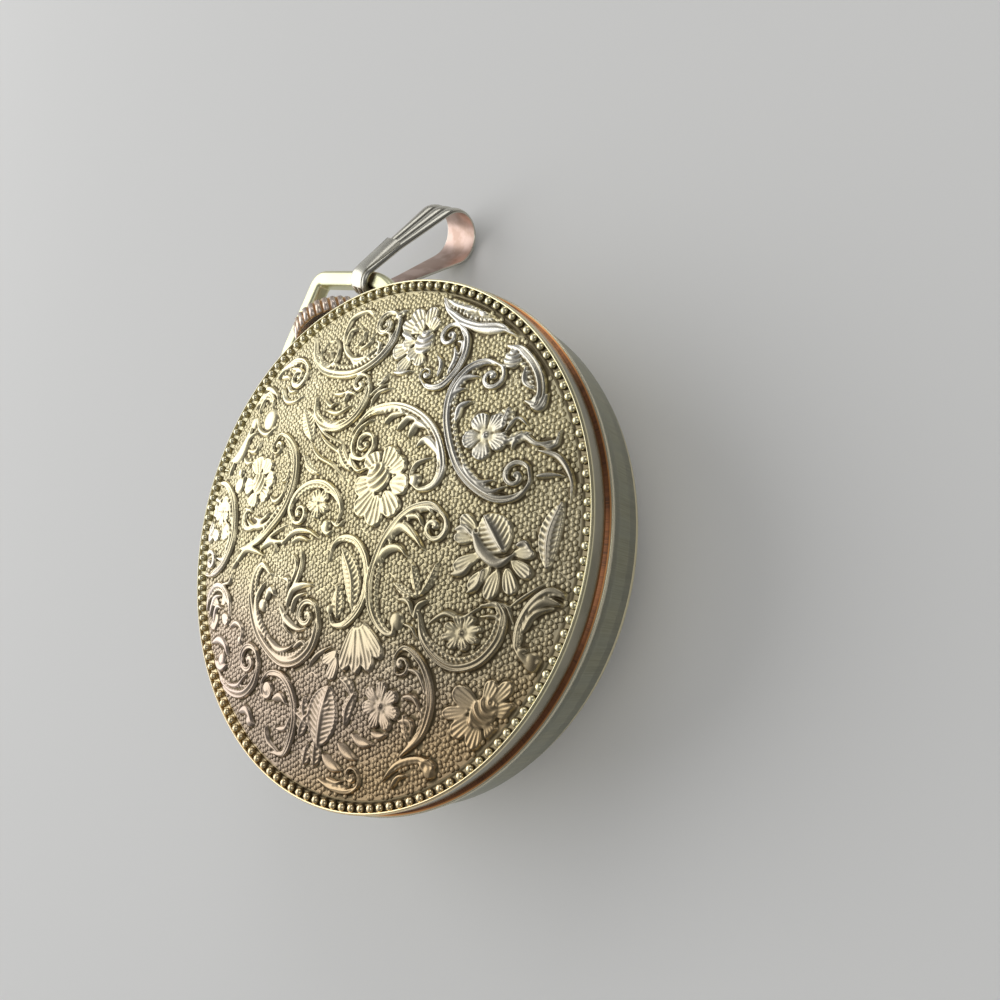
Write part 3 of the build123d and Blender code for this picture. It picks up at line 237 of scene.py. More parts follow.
def domeHeight(radius):
    top = coverSizes["beadHeight"] + coverSizes["domeRise"]
    return top - domeRadius + np.sqrt(domeRadius ** 2 - np.asarray(radius) ** 2)


# heights of the chased pattern on a square raster, 0 on the ground and 1 at the highest
class Relief:
    def __init__(self, half, step):
        self.step = step
        self.start = -half
        self.count = int(round(2 * half / step)) + 1
        self.heights = np.zeros((self.count, self.count))

    def window(self, low, high):
        first = np.clip(np.floor((np.asarray(low) - self.start) / self.step).astype(int), 0, self.count - 1)
        last = np.clip(np.ceil((np.asarray(high) - self.start) / self.step).astype(int) + 1, 1, self.count)
        xs = self.start + self.step * np.arange(first[0], last[0])
        ys = self.start + self.step * np.arange(first[1], last[1])
        return (slice(first[1], last[1]), slice(first[0], last[0])), *np.meshgrid(xs, ys)

    def lift(self, where, values):
        self.heights[where] = np.maximum(self.heights[where], values)

    # signed distance to a line, plus to its left, and the share of its length, on the window round it
    def nearest(self, line, reach):
        line = np.asarray(line, float)
        where, x, y = self.window(line.min(0) - reach, line.max(0) + reach)
        best = np.full(x.shape, 1e9)
        side = np.zeros(x.shape)
        along = np.zeros(x.shape)
        lengths = np.hypot(*np.diff(line, axis=0).T)
        total = lengths.sum()
        done = 0.0
        for (ax, ay), (bx, by), length in zip(line[:-1], line[1:], lengths):
            if length < 1e-9:
                continue
            dx, dy = (bx - ax) / length, (by - ay) / length
            px, py = x - ax, y - ay
            t = np.clip(px * dx + py * dy, 0, length)
            gap = np.hypot(px - t * dx, py - t * dy)
            closer = gap < best
            best[closer] = gap[closer]
            side[closer] = np.sign(dx * py - dy * px)[closer]
            along[closer] = ((done + t) / total)[closer]
            done += length
        return where, np.where(side == 0, 1, side) * best, along


# a round line through the points
def smoothLine(points, spacing=0.1):
    p = np.asarray(points, float)
    ends = np.vstack([2 * p[0] - p[1], p, 2 * p[-1] - p[-2]])
    made = []
    for a, b, c, d in zip(ends[:-3], ends[1:-2], ends[2:-1], ends[3:]):
        steps = max(2, int(np.hypot(*(c - b)) / spacing))
        for k in range(steps):
            t = k / steps
            made.append(tuple(0.5 * (2 * b + (c - a) * t + (2 * a - 5 * b + 4 * c - d) * t * t
                                     + (3 * b - a - 3 * c + d) * t ** 3)))
    made.append(tuple(p[-1]))
    return made


def windingOf(line):
    p = np.asarray(line)
    d = np.diff(p, axis=0)
    cross = d[:-1, 0] * d[1:, 1] - d[:-1, 1] * d[1:, 0]
    return 1.0 if cross.sum() > 0 else -1.0


# curls from start into centre, anticlockwise for a sense of 1
def spiral(start, centre, sense, turns):
    dx, dy = start[0] - centre[0], start[1] - centre[1]
    radius, angle = math.hypot(dx, dy), math.atan2(dy, dx)
    steps = int(turns * coverSizes["curlSteps"])
    made = []
    for k in range(1, steps + 1):
        share = k / steps
        r = radius * (1 - share) ** 0.85 + 0.1 * share
        a = angle + sense * turn * turns * share
        made.append((centre[0] + r * math.cos(a), centre[1] + r * math.sin(a)))
    return made


def hump(value, centre, half, power=1.0):
    return np.clip(1 - ((value - centre) / half) ** 2, 0, None) ** power


# across a scroll's band, from its outer edge at 0 to its inner edge at 1
def bandShape(q):
    rim = hump(q, 0.12, 0.12, 0.7)
    roll = 0.95 * hump(q, 0.42, 0.19, 0.7)
    lip = 0.8 * hump(q, 0.80, 0.2, 0.7)
    bed = 0.5 * hump(q, 0.5, 0.52, 0.3)
    return np.maximum(np.maximum(rim, roll), np.maximum(lip, bed))


# a C-scroll: its outer edge through the points, its band on the hollow side, and a curl at either end
def scroll(relief, points, width, start, end, turns=1.35, tip=0.25, thin=0.42):
    line = smoothLine(points)
    sense = windingOf(line)
    if end:
        line = line + spiral(line[-1], end, sense, turns)
    if start:
        line = spiral(line[0], start, -sense, turns)[::-1] + line
    total = len(line)
    curl = 1.4 * turns * coverSizes["curlSteps"]
    where, offset, along = relief.nearest(line, width + 0.3)
    inner = offset * sense
    local = np.full(along.shape, float(width))
    for centre, share in ((start, along), (end, 1 - along)):
        if centre:
            local *= np.clip(thin + (1 - thin) * share * total / curl, thin, 1)
        else:
            local *= np.clip(tip + (1 - tip) * share / 0.22, tip, 1)
    q = inner / local
    length = float(np.hypot(*np.diff(np.asarray(line), axis=0).T).sum())
    slant = along * length + coverSizes["cutSlant"] * inner
    cuts = 0.5 + 0.5 * np.cos(turn * slant / coverSizes["cutPitch"])
    cuts *= np.clip((q - 0.52) * 8, 0, 1) * np.clip(local * 1.6 - 0.5, 0, 1)
    relief.lift(where, bandShape(q) * np.clip(1.1 - 0.2 * np.abs(q), 0, 1) * (1 - 0.45 * cuts))
    for centre in (start, end):
        if centre:
            knob(relief, centre, 0.2, 0.9)


# a plain round wire, thinner at its ends
def ridge(relief, points, width, top=0.8, taper=0.3):
    where, offset, along = relief.nearest(smoothLine(points), width)
    local = width / 2 * np.clip(np.minimum(along, 1 - along) / taper, 0.25, 1)
    relief.lift(where, top * np.clip(1 - (offset / local) ** 2, 0, None) ** 0.7)


# a round boss
def knob(relief, centre, radius, top=0.9):
    low, high = np.subtract(centre, radius), np.add(centre, radius)
    where, x, y = relief.window(low, high)
    far = np.hypot(x - centre[0], y - centre[1]) / radius
    relief.lift(where, top * np.clip(1 - far ** 2, 0, None) ** 0.55)


# a leaf lobe that swells from its root and runs out to a point, its crest to one side
def frond(relief, points, width, top=0.85, lean=0.25):
    line = smoothLine(points)
    sense = windingOf(line)
    where, offset, along = relief.nearest(line, width)
    local = width / 2 * np.sin(np.pi * np.clip(along, 0.02, 1) ** 0.75) ** 0.8 + 0.02
    across = offset * sense / local
    crest = hump(across, -lean, 1 + lean * np.sign(across + lean), 0.75)
    relief.lift(where, top * crest * (np.abs(across) < 1))


# a lens-shaped leaf with a midrib and slanting veins
def leaf(relief, root, end, width, bend, top=0.85, veins=0.34):
    root, end = np.asarray(root, float), np.asarray(end, float)
    middle = (root + end) / 2 + bend * np.array([root[1] - end[1], end[0] - root[0]])
    line = smoothLine([root, middle, end])
    length = float(np.hypot(*(end - root)))
    where, offset, along = relief.nearest(line, width)
    local = width / 2 * np.sin(np.pi * np.clip(along, 0, 1)) ** 0.7 + 0.02
    across = np.abs(offset) / local
    inside = across < 1
    slant = along * length - coverSizes["cutSlant"] * np.abs(offset)
    rib = 0.5 + 0.5 * np.cos(turn * slant / veins)
    body = 0.62 + 0.2 * (1 - across) - 0.28 * rib * np.clip(across * 4 - 0.5, 0, 1)
    edge = 0.25 * hump(across, 0.9, 0.14)
    midrib = 0.3 * hump(across, 0, 0.16)
    rise = np.clip((1 - across) / 0.12, 0, 1) ** 0.6
    relief.lift(where, top * (body + edge + midrib) * rise * inside)


# an open flower: notched petals with fine rays and a round eye
def flower(relief, centre, radius, petals, phase, rays, squash, tilt, top=0.95, eye=0.15):
    low, high = np.subtract(centre, radius * 1.15), np.add(centre, radius * 1.15)
    where, x, y = relief.window(low, high)
    dx, dy = x - centre[0], y - centre[1]
    c, s = math.cos(math.radians(tilt)), math.sin(math.radians(tilt))
    dx, dy = dx * c + dy * s, (dy * c - dx * s) / squash
    far, angle = np.hypot(dx, dy), np.arctan2(dy, dx)
    wave = np.abs(np.cos(petals * (angle - math.radians(phase)) / 2))
    edge = radius * (0.60 + 0.40 * wave ** 0.55)
    q = far / edge
    ray = 0.5 + 0.5 * np.cos(rays * angle)
    body = 0.55 + 0.38 * hump(q, 0.72, 0.4)
    body = body - 0.45 * ray * np.clip(q * 3 - 0.8, 0, 1) * np.clip((1 - q) * 6, 0, 1)
    body = body + 0.12 * hump(q, 0.93, 0.1) - 0.25 * (wave < 0.22) * (q > 0.35)
    relief.lift(where, top * body * np.clip((1 - q) / 0.1, 0, 1) ** 0.6)
    knob(relief, centre, eye * radius, top)


# one round-ended petal with rays from its root
def petal(relief, root, end, width, top=0.85, rays=5):
    root, end = np.asarray(root, float), np.asarray(end, float)
    length = float(np.hypot(*(end - root)))
    low, high = np.minimum(root, end) - width, np.maximum(root, end) + width
    where, x, y = relief.window(low, high)
    ux, uy = (end - root) / length
    along = ((x - root[0]) * ux + (y - root[1]) * uy) / length
    across = ((y - root[1]) * ux - (x - root[0]) * uy) / (width / 2)
    q = np.hypot((along - 0.56) / 0.47, across / np.clip(0.5 + 0.55 * along, 0.4, 1.1))
    ray = 0.5 + 0.5 * np.cos(turn * rays * across / np.clip(0.35 + along, 0.2, 2) / 2)
    body = 0.55 + 0.3 * np.clip(along, 0, 1) - 0.26 * ray * np.clip((1 - q) * 5, 0, 1)
    body = body + 0.14 * hump(q, 0.9, 0.12)
    relief.lift(where, top * body * np.clip((1 - q) / 0.12, 0, 1) ** 0.6 * (along > -0.1))


# a closed rose bud: crescents one inside the other
def bud(relief, centre, radius, direction, squash, top=1.0):
    low, high = np.subtract(centre, radius), np.add(centre, radius)
    where, x, y = relief.window(low, high)
    c, s = math.cos(math.radians(direction)), math.sin(math.radians(direction))
    along = ((x - centre[0]) * c + (y - centre[1]) * s) / radius
    across = ((y - centre[1]) * c - (x - centre[0]) * s) / (radius * squash)
    q = np.hypot(along, across)
    waves = 0.5 + 0.5 * np.cos(turn * 2.3 * np.hypot(along - 0.75, across * 0.8))
    body = 0.72 + 0.28 * (1 - q) - 0.34 * waves * np.clip((1 - q) * 5, 0, 1)
    relief.lift(where, top * body * np.clip((1 - q) / 0.14, 0, 1) ** 0.6)


# the pattern, read off the cover: places in millimetres from its centre, crown at the top
scrolls = [
    # outer edge, width, middle of the start curl, middle of the end curl
    ([(2.2, -7.5), (1.7, -8.35), (0.9, -7.95), (0.35, -6.6), (0.45, -5.2), (1.3, -3.6), (3.2, -1.95),
      (5.4, -1.2), (7.3, -1.7), (8.0, -3.0)], 0.95, None, (6.9, -3.4)),
    ([(2.6, 6.4), (4.4, 7.1), (6.4, 6.5), (7.9, 5.2), (8.9, 3.5), (9.25, 1.6), (8.9, -0.2), (7.8, -1.0),
      (6.6, -0.7), (6.1, 0.1)], 0.8, None, None),
    ([(-0.4, 11.2), (-0.75, 9.6), (0.0, 8.0), (1.6, 7.05), (3.4, 7.15), (4.8, 8.3),
      (4.9, 9.6)], 0.95, None, (4.0, 9.6)),
    ([(0.2, 16.6), (-0.1, 14.9), (0.5, 13.0), (1.9, 11.5), (3.8, 10.4), (5.9, 10.2), (7.6, 10.9),
      (8.5, 12.3), (8.35, 13.4)], 1.2, None, (7.2, 12.9)),
    ([(8.75, 6.9), (9.1, 5.8), (10.2, 5.15), (11.7, 5.6), (12.8, 6.7), (13.15, 7.9),
      (12.7, 9.1)], 0.85, (9.35, 6.9), (11.8, 8.6)),
    ([(14.7, 4.3), (13.8, 5.4), (12.4, 5.7), (10.8, 5.0), (9.8, 3.4), (9.4, 1.4), (9.45, -0.7),
      (10.1, -2.5), (11.2, -3.9), (12.6, -4.4), (13.8, -3.9), (14.15, -2.9)], 0.95, (13.7, 3.9),
      (13.05, -2.95)),
    ([(15.5, 5.4), (16.3, 4.8), (16.8, 3.6), (16.9, 2.1), (16.5, 0.8), (15.7, 0.3),
      (15.2, 1.0)], 1.15, None, None),
    ([(12.0, 11.7), (12.0, 10.5), (12.6, 9.1), (13.7, 7.8), (15.1, 6.8), (16.4, 5.2)], 1.0, None, None),
    ([(-4.4, 16.1), (-3.3, 16.5), (-1.9, 16.3), (-0.9, 15.4), (-0.6, 14.2),
      (-1.2, 13.5)], 0.75, None, (-1.9, 14.4)),
    ([(-7.4, 15.1), (-6.4, 15.6), (-5.3, 15.2), (-4.9, 14.2), (-5.2, 13.6)], 0.7, None, None),
    ([(3.9, -7.9), (3.5, -9.3), (3.85, -10.8), (5.0, -12.0), (6.8, -12.35), (8.6, -11.7), (9.6, -10.5),
      (9.4, -9.4), (8.4, -9.1)], 0.95, None, None),
    ([(9.6, -13.2), (9.25, -12.2), (9.9, -11.0), (11.2, -10.1), (12.6, -9.9), (13.4, -10.7),
      (13.1, -11.3)], 0.6, None, None),
    ([(0.9, -10.5), (1.3, -9.5), (2.4, -9.2), (3.3, -10.4), (3.4, -12.0), (2.8, -13.5), (1.4, -14.7),
      (-0.6, -15.2)], 0.9, (1.6, -10.2), None),
    ([(-17.0, -3.2), (-16.6, -4.6), (-15.5, -6.0), (-13.9, -6.7), (-12.2, -6.4), (-11.2, -5.3),
      (-11.05, -4.2)], 1.15, None, (-12.45, -4.4)),
    ([(-7.9, 0.5), (-8.6, 1.7), (-9.9, 1.4), (-10.8, 0.2), (-11.1, -1.4), (-10.9, -3.2), (-10.1, -4.9),
      (-8.9, -6.3), (-7.2, -6.9), (-5.4, -6.6), (-4.2, -5.5), (-3.85, -4.2)], 1.15, None, (-5.15, -4.05)),
    ([(-1.9, -1.4), (-1.2, -0.5), (-0.1, -0.4), (1.0, -1.2), (1.45, -2.8), (1.0, -4.5), (-0.2, -5.8),
      (-1.9, -6.3), (-3.1, -5.7), (-3.0, -4.5)], 0.6, None, None),
    ([(-11.7, -7.1), (-11.3, -6.3), (-10.1, -6.0), (-8.8, -6.7), (-8.2, -8.0), (-8.3, -9.5), (-9.2, -10.9),
      (-10.8, -11.9), (-12.2, -11.3)], 0.9, (-10.9, -7.1), None),
    ([(-13.6, 11.5), (-12.1, 10.7), (-11.1, 9.0), (-11.0, 7.0), (-11.7, 5.1), (-13.2, 3.9), (-15.0, 3.6),
      (-16.5, 4.3), (-16.7, 5.5)], 1.0, None, (-15.6, 5.2)),
    ([(-5.6, 10.2), (-4.4, 10.6), (-3.3, 9.4), (-2.9, 7.6), (-3.5, 5.7), (-5.0, 4.2), (-6.9, 3.5),
      (-9.0, 3.3), (-11.2, 3.9)], 1.0, (-5.0, 9.7), None),
    ([(-4.7, 2.9), (-4.9, 4.0), (-3.8, 4.95), (-2.2, 5.0), (-0.7, 4.2), (0.2, 2.8), (0.3, 1.4),
      (-0.5, 0.5)], 0.7, (-3.8, 3.2), None),
    ([(-17.0, 1.6), (-16.4, 2.7), (-15.1, 3.05), (-13.9, 2.3), (-13.4, 0.9),
      (-13.7, -0.3)], 0.75, None, None),
    ([(-2.6, -15.9), (-1.2, -15.3), (0.6, -15.5), (1.6, -16.3), (1.0, -16.9)], 0.5, None, None),
    ([(-8.2, -14.3), (-7.2, -15.3), (-5.9, -15.9), (-4.8, -15.8), (-4.4, -15.1)], 0.6, None, (-5.1, -15.0)),
    ([(4.4, 6.3), (3.2, 6.3), (2.2, 5.5), (2.1, 4.4), (2.9, 3.7), (3.9, 3.9)], 0.55, None, (3.35, 4.85)),
    ([(-9.0, 6.5), (-9.9, 6.6), (-10.5, 5.9), (-10.1, 5.0), (-8.9, 4.6), (-7.2, 4.7)], 0.45, None, None),
]
fronds = [
    # in the large middle scroll
    ([(3.0, -2.5), (4.6, -2.2), (5.3, -3.2), (5.7, -4.4)], 0.75),
    ([(1.7, -3.7), (3.0, -3.1), (4.0, -3.4), (4.4, -4.3)], 0.7),
    ([(5.2, -1.8), (6.0, -2.2), (6.1, -3.0)], 0.45), ([(6.2, -1.8), (6.9, -2.1), (7.1, -2.6)], 0.45),
    ([(2.8, -6.4), (3.5, -6.9), (3.5, -8.0)], 0.45), ([(3.6, -8.0), (4.2, -7.4), (5.1, -7.4)], 0.45),
    ([(2.7, -8.0), (3.2, -8.5), (3.3, -9.3)], 0.35),
    # in the upper right scroll
    ([(4.6, 6.6), (5.4, 6.4), (6.6, 5.9), (7.1, 5.0)], 0.55), ([(5.3, 5.3), (6.2, 5.5), (7.2, 5.0)], 0.5),
    ([(6.2, 4.3), (7.3, 4.6), (8.0, 3.9)], 0.6), ([(6.9, 3.3), (7.8, 3.8), (8.5, 3.0)], 0.75),
    ([(7.3, 2.3), (8.1, 2.4), (8.6, 1.4), (8.7, 0.2)], 0.75), ([(6.2, 0.6), (7.0, 1.2), (8.2, 1.0)], 0.4),
    ([(1.9, 4.9), (2.2, 3.4), (3.2, 3.0)], 0.4), ([(1.4, 6.0), (1.7, 4.4), (2.4, 3.0)], 0.35),
    # round the right flower
    ([(10.4, 3.6), (10.9, 4.3), (11.9, 4.2)], 0.5), ([(10.5, 2.4), (11.1, 3.2), (12.0, 3.1)], 0.6),
    ([(10.1, -0.6), (10.6, -2.0), (11.8, -2.6)], 0.5), ([(10.4, -1.8), (11.2, -3.0), (12.4, -3.3)], 0.4),
    ([(11.0, 4.4), (12.0, 4.9), (13.0, 4.4)], 0.5),
    # at the right rim
    ([(15.4, 0.6), (16.0, 0.3), (16.7, 0.9)], 0.55), ([(15.9, 3.2), (15.6, 2.4), (15.9, 1.6)], 0.55),
    ([(13.4, -1.2), (14.3, -0.8), (15.0, -1.8), (16.3, -2.2)], 0.5),
    ([(15.0, -1.8), (15.9, -2.4), (16.6, -1.6)], 0.4),
    ([(14.9, -2.2), (15.9, -3.2), (16.1, -4.8), (15.6, -5.9)], 0.5),
    ([(14.2, -3.6), (15.0, -3.9), (15.8, -4.4)], 0.4),
    # at the top, right of the middle
    ([(8.3, 11.3), (8.8, 10.6), (9.1, 10.2)], 0.55), ([(6.9, 8.7), (7.6, 8.2), (8.4, 7.9)], 0.4),
    ([(0.4, 9.6), (1.6, 8.6), (3.0, 8.4)], 0.45), ([(1.4, 10.4), (2.4, 9.8), (3.3, 9.7)], 0.4),
    ([(0.0, 9.0), (0.9, 8.0), (2.2, 7.7)], 0.35), ([(3.5, 12.6), (4.0, 11.6), (5.2, 11.3)], 0.5),
    ([(3.1, 14.4), (4.3, 15.7), (5.9, 15.3), (6.3, 14.6)], 0.5),
    ([(3.4, 13.8), (4.0, 14.6), (4.8, 14.4)], 0.5),
    # at the top left
    ([(-3.8, 14.6), (-3.6, 13.2), (-2.6, 12.4), (-1.6, 12.3)], 0.5),
    ([(-3.1, 14.4), (-2.9, 13.6), (-2.2, 13.2)], 0.45), ([(-2.4, 14.2), (-2.2, 13.9), (-1.6, 13.9)], 0.3),
    ([(-3.9, 15.6), (-3.1, 15.2), (-2.9, 14.6)], 0.45), ([(-2.6, 15.7), (-1.9, 15.2), (-1.5, 15.1)], 0.4),
    ([(-7.0, 14.2), (-6.2, 15.0), (-4.9, 15.4)], 0.5),
    ([(-6.4, 16.3), (-5.4, 15.6), (-4.6, 14.4), (-4.6, 13.7)], 0.6),
    ([(-11.2, 12.1), (-10.1, 12.1), (-8.9, 12.8), (-7.9, 13.6)], 1.5),
    ([(-9.6, 12.2), (-8.4, 12.7), (-7.4, 12.6)], 0.5), ([(-9.3, 11.3), (-9.0, 10.6), (-8.2, 10.2)], 0.5),
    ([(-8.7, 11.6), (-7.8, 11.0), (-7.0, 11.4)], 0.5), ([(-11.9, 13.2), (-12.4, 12.2), (-11.6, 11.4)], 0.4),
    # small leaves inside the curls at the top and the upper right
    ([(10.9, 6.0), (11.7, 6.8), (11.9, 7.7)], 0.6), ([(10.1, 6.2), (10.6, 7.0), (10.5, 7.9)], 0.45),
    ([(12.2, 6.9), (12.5, 7.5), (12.1, 7.9)], 0.4), ([(1.7, 11.9), (2.1, 12.6), (1.9, 13.0)], 0.4),
    ([(5.9, 10.9), (6.3, 11.7), (6.0, 12.3)], 0.5), ([(7.1, 11.2), (7.3, 11.9), (7.0, 12.3)], 0.4),
    ([(2.3, 9.1), (2.9, 9.5), (3.5, 9.0)], 0.4), ([(0.6, 10.4), (1.0, 9.6), (1.7, 9.5)], 0.4),
    # in the left scroll
    ([(-11.6, 3.2), (-10.4, 3.6), (-9.3, 2.9), (-8.3, 2.0)], 0.6),
    ([(-7.6, 3.0), (-6.9, 2.4), (-7.1, 1.6)], 0.4), ([(-13.2, 4.9), (-12.4, 5.6), (-12.3, 6.6)], 0.5),
    ([(-12.0, 7.0), (-11.9, 8.2), (-12.4, 9.1)], 0.45),
    ([(-9.8, 5.9), (-9.0, 4.8), (-7.4, 4.3), (-5.6, 4.9)], 0.5),
    ([(-8.9, 5.6), (-8.0, 4.9), (-6.9, 5.0)], 0.4),
    ([(-6.6, 6.2), (-6.2, 5.5), (-5.3, 5.5), (-4.4, 6.3)], 0.5),
    ([(-5.1, 6.6), (-4.5, 6.5), (-3.9, 7.2)], 0.4), ([(-10.8, 9.2), (-10.1, 9.0), (-9.5, 9.7)], 0.8),
    ([(-9.9, 6.9), (-9.3, 6.4), (-8.9, 6.0)], 0.4), ([(-14.4, 10.8), (-13.4, 9.6), (-12.6, 9.6)], 0.6),
    ([(-14.6, 5.0), (-13.6, 4.4), (-12.6, 4.7)], 0.4),
    # along the middle
    ([(-8.7, 2.75), (-7.4, 2.7), (-6.4, 2.2), (-5.4, 1.9)], 0.5),
    ([(-8.4, 2.8), (-7.0, 3.1), (-5.3, 3.05)], 0.35),
    ([(-6.2, 1.9), (-4.6, 2.1), (-3.2, 1.4), (-2.3, 0.3)], 0.5),
    ([(-5.2, 1.5), (-4.2, 1.4), (-3.3, 0.7)], 0.4), ([(-1.9, 1.2), (-1.5, 0.4), (-1.0, 0.4)], 0.6),
    ([(-0.9, 1.1), (-0.4, 0.4), (0.2, 0.6)], 0.4),
    # in and above the big left scroll
    ([(-8.8, 0.1), (-10.0, -0.6), (-10.3, -2.2), (-9.9, -3.7)], 0.6),
    ([(-9.0, -1.2), (-8.3, -0.7), (-7.9, -1.4)], 0.7),
    ([(-7.6, -2.0), (-7.3, -3.4), (-6.4, -4.5), (-5.4, -4.9)], 0.6),
    ([(-6.9, -2.6), (-6.0, -1.8), (-4.9, -1.9), (-3.8, -2.4)], 0.65),
    ([(-6.6, -3.2), (-5.8, -2.5), (-4.6, -2.6)], 0.4),
    ([(-6.9, -2.3), (-5.2, -1.2), (-4.4, -0.2), (-4.3, 0.7)], 0.55),
    ([(-5.9, -1.2), (-5.1, -0.4), (-5.1, 0.6)], 0.5),
    ([(-9.6, -3.8), (-8.8, -5.0), (-7.6, -5.4), (-7.0, -5.3)], 0.55),
    ([(-7.2, -5.6), (-6.2, -5.5), (-5.9, -5.9)], 0.4), ([(-6.7, -0.6), (-6.2, -1.0), (-6.5, -1.6)], 0.5),
    # at the left rim and the lower left
    ([(-16.8, -1.3), (-15.9, -1.4), (-15.1, -2.2), (-14.9, -3.2)], 0.8),
    ([(-16.9, -2.6), (-16.2, -3.5), (-15.2, -3.6)], 0.7),
    ([(-14.0, -1.2), (-13.1, -1.2), (-12.5, -2.0), (-13.0, -2.9)], 0.5),
    ([(-15.6, -5.0), (-14.4, -5.5), (-13.0, -5.2)], 0.45),
    ([(-16.6, 0.9), (-15.6, 1.9), (-14.5, 1.7)], 0.55), ([(-16.2, 0.2), (-15.4, 1.1), (-14.6, 0.6)], 0.5),
    ([(-14.9, -7.4), (-14.0, -7.6), (-13.5, -8.8)], 0.8),
    ([(-12.1, -9.4), (-12.2, -10.4), (-11.4, -11.4)], 0.5),
    ([(-10.6, -8.0), (-9.7, -8.1), (-9.2, -8.9)], 0.7),
    ([(-11.0, -9.9), (-10.0, -10.2), (-9.2, -9.7)], 0.5),
    # behind the ruffles at the right
    ([(9.4, -4.9), (9.5, -6.2), (10.2, -7.3), (11.4, -7.3)], 1.0),
    ([(11.6, -6.9), (12.2, -7.0), (12.4, -7.6)], 0.5),
    # the drops below the large leaf
    ([(-7.0, -13.0), (-6.6, -13.8), (-5.8, -14.4)], 0.95),
    ([(-5.3, -12.8), (-4.9, -13.6), (-4.2, -14.2)], 0.85),
    ([(-3.9, -12.7), (-3.4, -13.4), (-2.5, -13.8)], 0.75),
    ([(-2.3, -13.1), (-1.8, -13.5), (-1.1, -13.6)], 0.55),
    # at the lower right
    ([(9.9, -13.4), (9.6, -12.6), (10.1, -12.6)], 0.8),
    ([(11.0, -10.7), (12.1, -10.6), (13.0, -11.2)], 0.7),
    ([(10.2, -11.6), (11.2, -11.0), (12.4, -11.1)], 0.4),
    ([(4.4, -8.7), (5.8, -8.6), (6.8, -9.3), (8.3, -9.2)], 0.45),
    ([(7.0, -6.6), (7.9, -6.8), (8.6, -6.6)], 0.6), ([(7.6, -8.1), (8.5, -7.9), (9.2, -7.2)], 0.55),
    ([(8.2, -4.2), (8.9, -4.4), (9.3, -5.3)], 0.5),
    # at the bottom
    ([(1.9, -10.6), (2.6, -11.2), (2.7, -12.6)], 0.45), ([(0.9, -12.0), (1.7, -12.4), (1.9, -13.4)], 0.5),
    ([(0.0, -13.2), (0.9, -13.6), (0.6, -14.4)], 0.5),
    ([(-7.4, -14.4), (-6.6, -14.9), (-6.0, -15.0)], 0.35),
    ([(-2.2, -16.6), (-1.4, -16.2), (-0.6, -16.3)], 0.4), ([(0.9, -16.6), (0.7, -16.1), (1.4, -15.9)], 0.5),
]
leaves = [
    # root, tip, width, bend
    ((4.2, -6.9), (2.8, -5.2), 0.6, 0.05), ((4.3, -6.9), (4.6, -4.7), 0.7, 0.0),
    ((4.4, -6.9), (6.4, -5.5), 0.6, -0.05), ((10.8, -7.0), (10.4, -4.2), 2.5, 0.0),
    ((-7.3, -12.4), (-4.6, -9.2), 2.9, 0.05), ((-1.0, -5.6), (-0.5, -1.2), 1.5, -0.1),
    ((-2.5, -5.5), (-1.6, -3.4), 1.1, 0.0), ((12.6, 11.5), (16.5, 6.5), 1.9, 0.12),
    ((-8.9, -11.2), (-7.2, -10.1), 1.0, 0.1), ((-7.8, -10.8), (-7.2, -8.9), 1.0, 0.1),
    ((-8.2, -13.4), (-7.2, -11.8), 1.1, 0.0), ((-4.4, -12.0), (-2.6, -10.4), 0.9, 0.1),
    ((12.8, -9.0), (15.2, -5.7), 1.35, 0.08), ((-8.6, -9.4), (-7.6, -10.8), 1.0, 0.0),
    ((-9.2, -13.0), (-8.2, -11.9), 0.9, 0.0), ((-3.6, -9.0), (-2.9, -10.6), 0.8, 0.1),
    ((0.2, -14.6), (0.6, -12.9), 0.8, 0.0), ((-1.3, 8.0), (-1.6, 11.0), 1.4, 0.0),
    ((-1.2, 5.0), (-2.4, 7.4), 0.7, 0.1), ((1.7, 3.6), (1.1, 6.0), 0.6, 0.1),
    ((7.9, 12.9), (9.2, 12.9), 0.6, 0.1), ((13.3, 0.4), (14.2, 1.4), 1.2, 0.0),
    ((13.0, -0.6), (14.9, -0.9), 0.8, 0.0),
]
